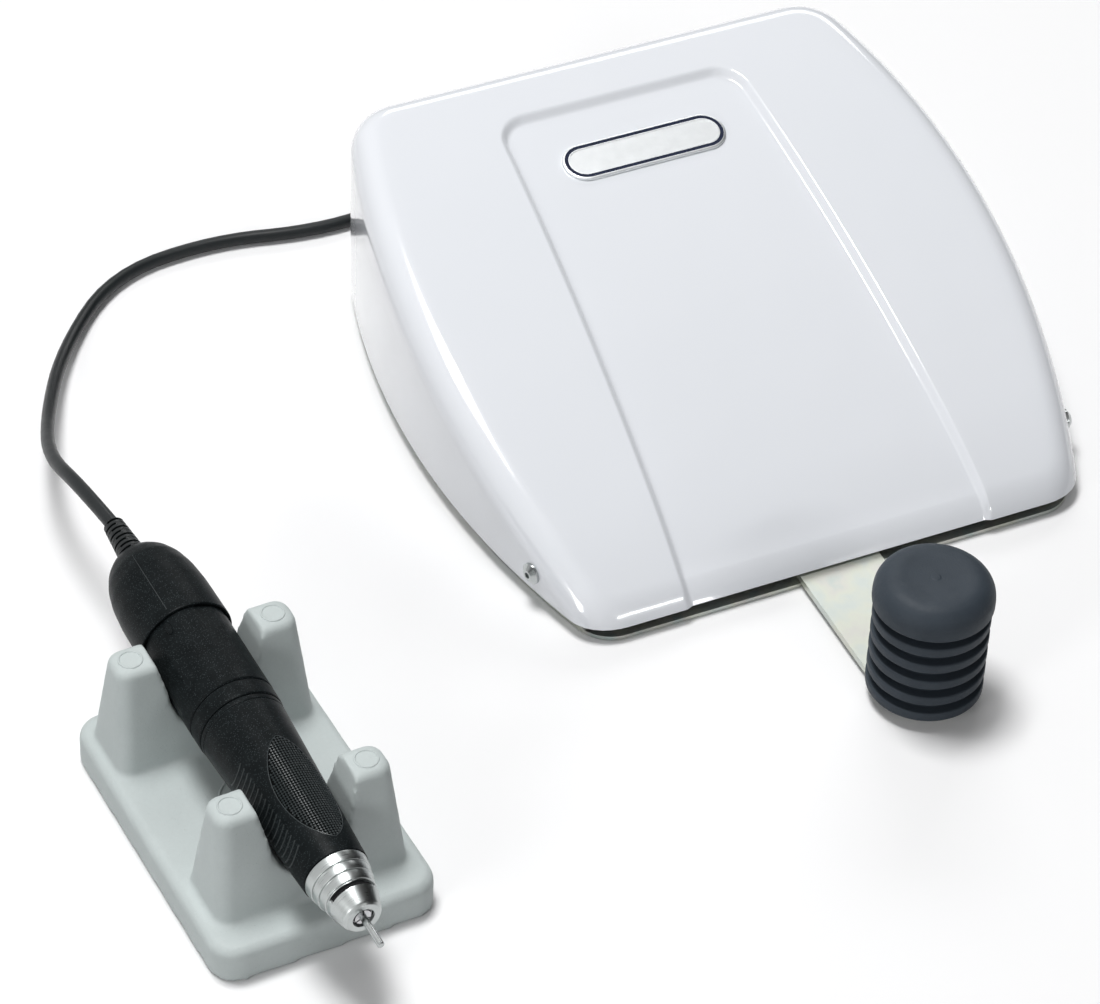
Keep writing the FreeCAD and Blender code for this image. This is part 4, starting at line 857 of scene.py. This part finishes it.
def field_shade_sheet():
    """Thin dark sheet under the leaf-shaped field: painted shade between its pyramids."""
    points, faces = [], []
    rows, columns = 40, 12
    for rise in (-0.25, 0.035):
        for row in range(rows + 1):
            share = -0.995 + 1.99 * row / rows
            along = FIELD_START + FIELD_LENGTH / 2 * share
            here = grip_radius(along) + rise
            for column in range(columns + 1):
                across = field_half(share) * (2 * column / columns - 1)
                angle = FIELD_ANGLE + across / here
                points.append((here * math.sin(angle), along, here * math.cos(angle)))
    wide, layer = columns + 1, (rows + 1) * (columns + 1)
    for base in (0, layer):
        corners = [base + r * wide + c for r in range(rows) for c in range(columns)]
        faces += [(corner, corner + 1, corner + wide + 1, corner + wide) for corner in corners]
    rim = list(range(wide)) + [r * wide + columns for r in range(1, rows + 1)]
    rim += [rows * wide + c for c in reversed(range(columns))] + [r * wide for r in reversed(range(1, rows))]
    faces += [(a, b, b + layer, a + layer) for a, b in zip(rim, rim[1:] + rim[:1])]
    return mesh_piece("field_shade_sheet", points, faces, HAND)


def grip_ribs():
    """Row of thin curved ribs on the left of the grip."""
    tree = Growth("grip_ribs")
    count = tree.size("Count", 17, "NodeSocketInt")
    pitch = tree.size("Pitch", 2.35 * MM)
    row = tree.node("GeometryNodeMeshLine", {}, count, Start_Location=(0, -19 * MM, 0))
    step = tree.node("ShaderNodeCombineXYZ", {}, 0.0, pitch, 0.0)
    tree.tree.links.new(step.socket, row.socket.node.inputs["Offset"])
    bow = tree.node("GeometryNodeCurveArc", {"mode": "RADIUS"}, Resolution=9, Radius=7.5 * MM,
                    Start_Angle=math.radians(232), Sweep_Angle=math.radians(76))
    rod = tree.node("GeometryNodeCurvePrimitiveCircle", {"mode": "RADIUS"}, Resolution=6, Radius=0.32 * MM)
    rib = tree.node("GeometryNodeCurveToMesh", {}, bow, rod, Fill_Caps=True)
    centred = tree.node("GeometryNodeTransform", {}, rib, Translation=(0, 7.5 * MM, 0))
    spread = tree.node("GeometryNodeInstanceOnPoints", {}, row, Instance=centred)
    solid = tree.node("GeometryNodeRealizeInstances", {}, spread)
    wrap = tree.wrapped(solid, 46 * MM, (grip_radius(46) - 0.08) * MM, 0.0508, math.radians(-70))
    return tree.grow("grip_ribs", wrap, hand_black, HAND)


def lug():
    """Small oval lug on the motor's case, just in front of the cap's rim."""
    middle = 125.2
    loops = [(0, 14.0), (0.1, 14.9), (0.5, 15.15), (0.8, 15.2)]
    points, faces = [], []
    for inset, radius in loops:
        for k in range(24):
            angle = 2 * math.pi * k / 24
            across = (1.15 - inset) * math.cos(angle) / radius + math.radians(-33)
            along = middle + (2.6 - inset) * math.sin(angle)
            points.append((radius * math.sin(across), along, radius * math.cos(across)))
    for level in range(len(loops) - 1):
        for k in range(24):
            n = (k + 1) % 24
            faces.append((level * 24 + k, level * 24 + n, level * 24 + 24 + n, level * 24 + 24 + k))
    faces += [tuple(range(24)), tuple(range(72, 96))]
    return mesh_piece("lug", points, faces, HAND)


def fine_line(name, angle, spine, radius=0.15):
    """Thin raised line along the handpiece through (along, radius) points, at an angle from its top."""
    turn = math.radians(angle)
    path = [HAND @ (Vector((out * math.sin(turn), along, out * math.cos(turn))) * MM) for along, out in spine]
    return swept(name, path, radius * MM, 8)


# ------------------------------------------------------------------ handpiece
def relief():
    """Rubber sleeve of the lead: thin bands held by ribs that take turns round it."""
    first, pitch, count = 170.4, 2.05, 8

    def outer(along):
        return 4.75 - 1.25 * (along - first) / (187 - first)

    profile = [(167.9, 0), (167.9, 4.9), (169.0, 4.9), (169.1, 3.45), (170.2, 3.45), (first, outer(first))]
    for k in range(count):
        low = first + pitch * k
        profile += [(low + 1.15, outer(low + 1.15)), (low + 1.2, outer(low) - 1.35),
                    (low + pitch - 0.05, outer(low) - 1.35), (low + pitch, outer(low + pitch))]
    profile += [(187, 3.45), (187, 0)]
    sleeve = turned("relief", profile, HAND, 56)
    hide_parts("strain_relief")
    finish_piece(sleeve, jacket, "handpiece", 30)
    points, faces = [], []
    for k in range(count):
        low = first + pitch * k + 1.1
        for side in (0, math.pi):
            middle = side + (math.pi / 2 if k % 2 else 0) + math.radians(20)
            base = len(points)
            for along in (low, low + 1.0):
                for radius in (outer(along) - 1.5, outer(along) - 0.03):
                    for angle in (middle - 0.42, middle, middle + 0.42):
                        points.append((radius * math.sin(angle), along, radius * math.cos(angle)))
            quads = ((0, 1, 4, 3), (1, 2, 5, 4), (6, 7, 10, 9), (7, 8, 11, 10), (3, 4, 10, 9), (4, 5, 11, 10),
                     (0, 1, 7, 6), (1, 2, 8, 7), (0, 3, 9, 6), (2, 5, 11, 8))
            faces += [tuple(base + i for i in quad) for quad in quads]
    bridges = mesh_piece("relief_bridges", points, faces, HAND)
    finish_piece(bridges, jacket, "handpiece", 30)


def handpiece():
    """Dressed pieces of the handpiece."""
    nose = turned("nose", softened([(12.0, 7.1), (4.0, 7.1), (3.0, 3.6), (0, 3.6), (0, 5.6), (0.9, 6.4), (6.35, 8.2),
                                    (8.35, 8.3), (8.4, 8.05), (8.75, 8.1), (8.8, 8.6), (11.8, 9.2), (11.85, 8.85),
                                    (12.2, 8.9), (12.25, 9.45), (15.1, 9.9), (15.15, 9.55), (15.5, 9.6),
                                    (15.55, 10.15), (18.9, 10.65), (19.1, 10.5), (19.1, 8.6), (12.0, 8.6)], 0.16, 3),
                  HAND, 128)
    slot_tool = turned("slot_tool", [(6.45, 7.5), (8.3, 7.5), (8.3, 11), (6.45, 11), (6.45, 7.5)], HAND, 64)
    keep = cutter_box("slot_sector", (-12, 4, -12), (12, 10, 3.2))
    keep.data.transform(HAND)
    cut(slot_tool, keep)
    cut(nose, slot_tool)
    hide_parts("nose_cone")
    finish_piece(nose, nose_metal, "handpiece", 28)
    # black ring at the bottom of the slot: painted shade in the slot
    shadow = turned("slot_painted_shade", [(6.3, 7.2), (8.4, 7.2), (8.4, 7.56), (6.3, 7.56), (6.3, 7.2)], HAND, 64)
    finish_piece(shadow, black, "handpiece", 28)

    rim_foot, rim_top, end = 84.6, 85.1, 86.85
    outline = [(60.8, 8.6), (19.25, 8.6), (19.25, grip_radius(19.25)), (48, grip_radius(48)),
               (rim_foot, grip_radius(rim_foot)), (84.8, grip_radius(84.8) - 0.22), (rim_top, grip_radius(rim_top)),
               (end, grip_radius(end)), (end, 11.6), (67, 11.0), (60.8, 8.6)]
    grip = turned("grip", softened(outline, 0.3, 3), HAND, 112)
    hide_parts("grip_sleeve")
    finish_piece(grip, hand_black, "handpiece", 28)
    cap_spine = [(131, 15.92), (140, 15.78), (147, 15.58), (154, 14.85), (160, 13.45)]
    finish_piece(lug(), hand_black, "handpiece", 20)
    # dark sheet under the knurl: painted shade between its pyramids
    finish_piece(field_shade_sheet(), field_shade_black, "handpiece", 20)
    # ribs and parting line in the lighter black: painted highlight
    for piece in (grip_ribs(), fine_line("parting_line", -22, cap_spine)):
        finish_piece(piece, rib_highlight_black, "handpiece", 20)
    # knurl and field edge in the lighter black: painted glints
    for piece in (knurl(), field_edge()):
        finish_piece(piece, tip_glint_black, "handpiece", 20)

    band = turned("band", softened([(87.15, 11.3), (87.15, 14.35), (87.7, 14.6), (93.3, 14.65), (93.85, 14.4),
                                    (93.85, 11.3), (87.15, 11.3)], 0.25, 3), HAND, 112)
    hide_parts("chuck_ring")
    finish_piece(band, hand_black, "chuck", 28)

    cap = turned("cap", softened([(135, 13.6), (135, 14.85), (129.0, 14.85), (129.0, 15.75), (129.5, 15.9),
                                  (146, 15.65), (154, 14.95), (160, 13.6), (164.5, 11.6), (167.6, 9.2),
                                  (169.4, 7.0), (170, 5.2), (170, 3.65), (167.8, 3.65), (167.8, 5.1), (163, 9.2),
                                  (154.5, 12.5), (152.5, 13.55), (135, 13.6)], 1.2, 4), HAND, 112)
    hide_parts("rear_cap")
    finish_piece(cap, hand_black, "handpiece", 28)


handpiece()
relief()


# ------------------------------------------------------------------ knob
def knob():
    """Rubber knob: a rounded cap over five thick ribs with deep grooves."""
    profile = [(0, 8.05), (0, 19.4)]
    for index in range(5):
        low = index * 7.2
        profile += [(low + 3.6, 19.4), (low + 3.6, 15.6), (low + 7.2, 15.6)]
        if index < 4:
            profile.append((low + 7.2, 19.4))
    profile += [(36, 20), (39.5, 20.0)]
    profile += [(39.5 + 7.4 * math.sin(math.radians(a)), 12.6 + 7.4 * math.cos(math.radians(a)))
                for a in (15, 30, 45, 60, 75, 86)]
    profile += [(46.9, 11.5), (46.6, 9.0), (46.4, 5.0), (46.35, 1.7), (46.55, 1.3), (46.6, 0)]
    inner = [(26.05, 0), (26.05, 8.05), (0, 8.05)]
    body = turned("knob_body", softened(profile, 0.7, 4) + inner, KNOB, 128)
    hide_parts("knob")
    return finish_piece(body, slate, "knee_lever", 40)


knob()


# ------------------------------------------------------------------ cradle
def ring(name, at, radius, thick):
    """Small raised ring lying on the cradle."""
    loop = [(thick * math.sin(math.radians(a)), radius + thick * math.cos(math.radians(a)))
            for a in range(0, 360, 36)]
    place = CRADLE @ Matrix.Translation(Vector(at) * MM) @ Matrix.Rotation(math.pi / 2, 4, "X")
    return turned(name, loop, place, 56, closed=True)


def cradle():
    """Moulded rubber cradle with softened edges, rings on its four posts and a plain one on the slab."""
    body = node_copy("cradle_body", "cradle")
    melt = body.modifiers.new("melt", "REMESH")
    melt.mode = "VOXEL"
    melt.voxel_size = 0.85 * MM
    smooth = body.modifiers.new("smooth", "SMOOTH")
    smooth.factor = 0.5
    smooth.iterations = 4
    applied(body)
    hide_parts("cradle")
    finish_piece(body, grey_rubber, "control_box", 180)
    rings = [ring("slab_ring", (0, 1.0, 13.02), 10.5, 0.42)]
    for row, spacing in ((38.0, 49.0), (-33.0, 46.0)):
        rings += [ring("post_ring", (side * spacing, row, 50.95), 3.7, 0.36) for side in (-0.5, 0.5)]
    for piece in rings:
        finish_piece(piece, grey_rubber, "control_box", 60)


cradle()


# ------------------------------------------------------------------ floor and light
def floor():
    """Plain pale floor."""
    sheet = bpy.data.meshes.new("floor")
    sheet.from_pydata([(-9, -9, 0), (9, -9, 0), (9, 9, 0), (-9, 9, 0)], [], [(0, 1, 2, 3)])
    ground = bpy.data.objects.new("floor", sheet)
    bpy.context.scene.collection.objects.link(ground)
    ground.location.z = -0.0003
    pale = Finish("floor", (0.93, 0.93, 0.935), 0.6)
    seen = pale.node("ShaderNodeLightPath", {}, out="Is Camera Ray")
    mirrored = pale.node("ShaderNodeLightPath", {}, out="Is Glossy Ray")
    pale.feed("Base Color", pale.blend(seen + mirrored, (0.52, 0.52, 0.525), (0.93, 0.93, 0.935)))
    ground.data.materials.append(pale.material)


def softbox(name, place, towards, size, power):
    """Square soft lamp aimed at a point."""
    lamp = bpy.data.lights.new(name, "AREA")
    lamp.shape = "RECTANGLE"
    lamp.size, lamp.size_y = size
    lamp.energy = power
    holder = bpy.data.objects.new(name, lamp)
    bpy.context.scene.collection.objects.link(holder)
    holder.location = place
    holder.rotation_euler = (Vector(towards) - Vector(place)).to_track_quat("-Z", "Y").to_euler()


def light():
    """Soft studio light and a white surrounding."""
    softbox("key", (-0.35, 0.35, 2.3), (-0.05, 0, 0), (0.8, 0.7), 43)
    softbox("left", (-0.95, -0.55, 0.4), (-0.23, -0.15, 0.02), (0.25, 0.25), 2.1)
    softbox("front", (0.4, -1.6, 0.8), (0, -0.05, 0.04), (0.5, 0.1), 2.5)
    softbox("rear", (0.9, 1.5, 1.2), (0, 0, 0), (1.2, 0.5), 8)
    world = bpy.data.worlds.new("studio")
    bpy.context.scene.world = world
    world.use_nodes = True
    net = Net(world.node_tree)
    back = next(n for n in net.tree.nodes if n.type == "BACKGROUND")
    seen = net.node("ShaderNodeLightPath", {}, out="Is Camera Ray")
    glossy = net.node("ShaderNodeLightPath", {}, out="Is Glossy Ray")
    way = net.node("ShaderNodeTexCoord", {}, out="Generated")
    side = net.node("ShaderNodeSeparateXYZ", {}, way)
    card = net.node("ShaderNodeMapRange", {}, side, -0.35, 0.45, 0.6, -0.05)
    fill = net.node("ShaderNodeMapRange", {}, side, -0.2, 0.7, 0.21, 0.06)
    strength = seen * 0.90 + glossy * card + fill
    net.tree.links.new(strength.socket, back.inputs["Strength"])
    back.inputs["Color"].default_value = (1, 1, 1, 1)


floor()
light()
view_settings = bpy.context.scene.view_settings
view_settings.view_transform = "Standard"
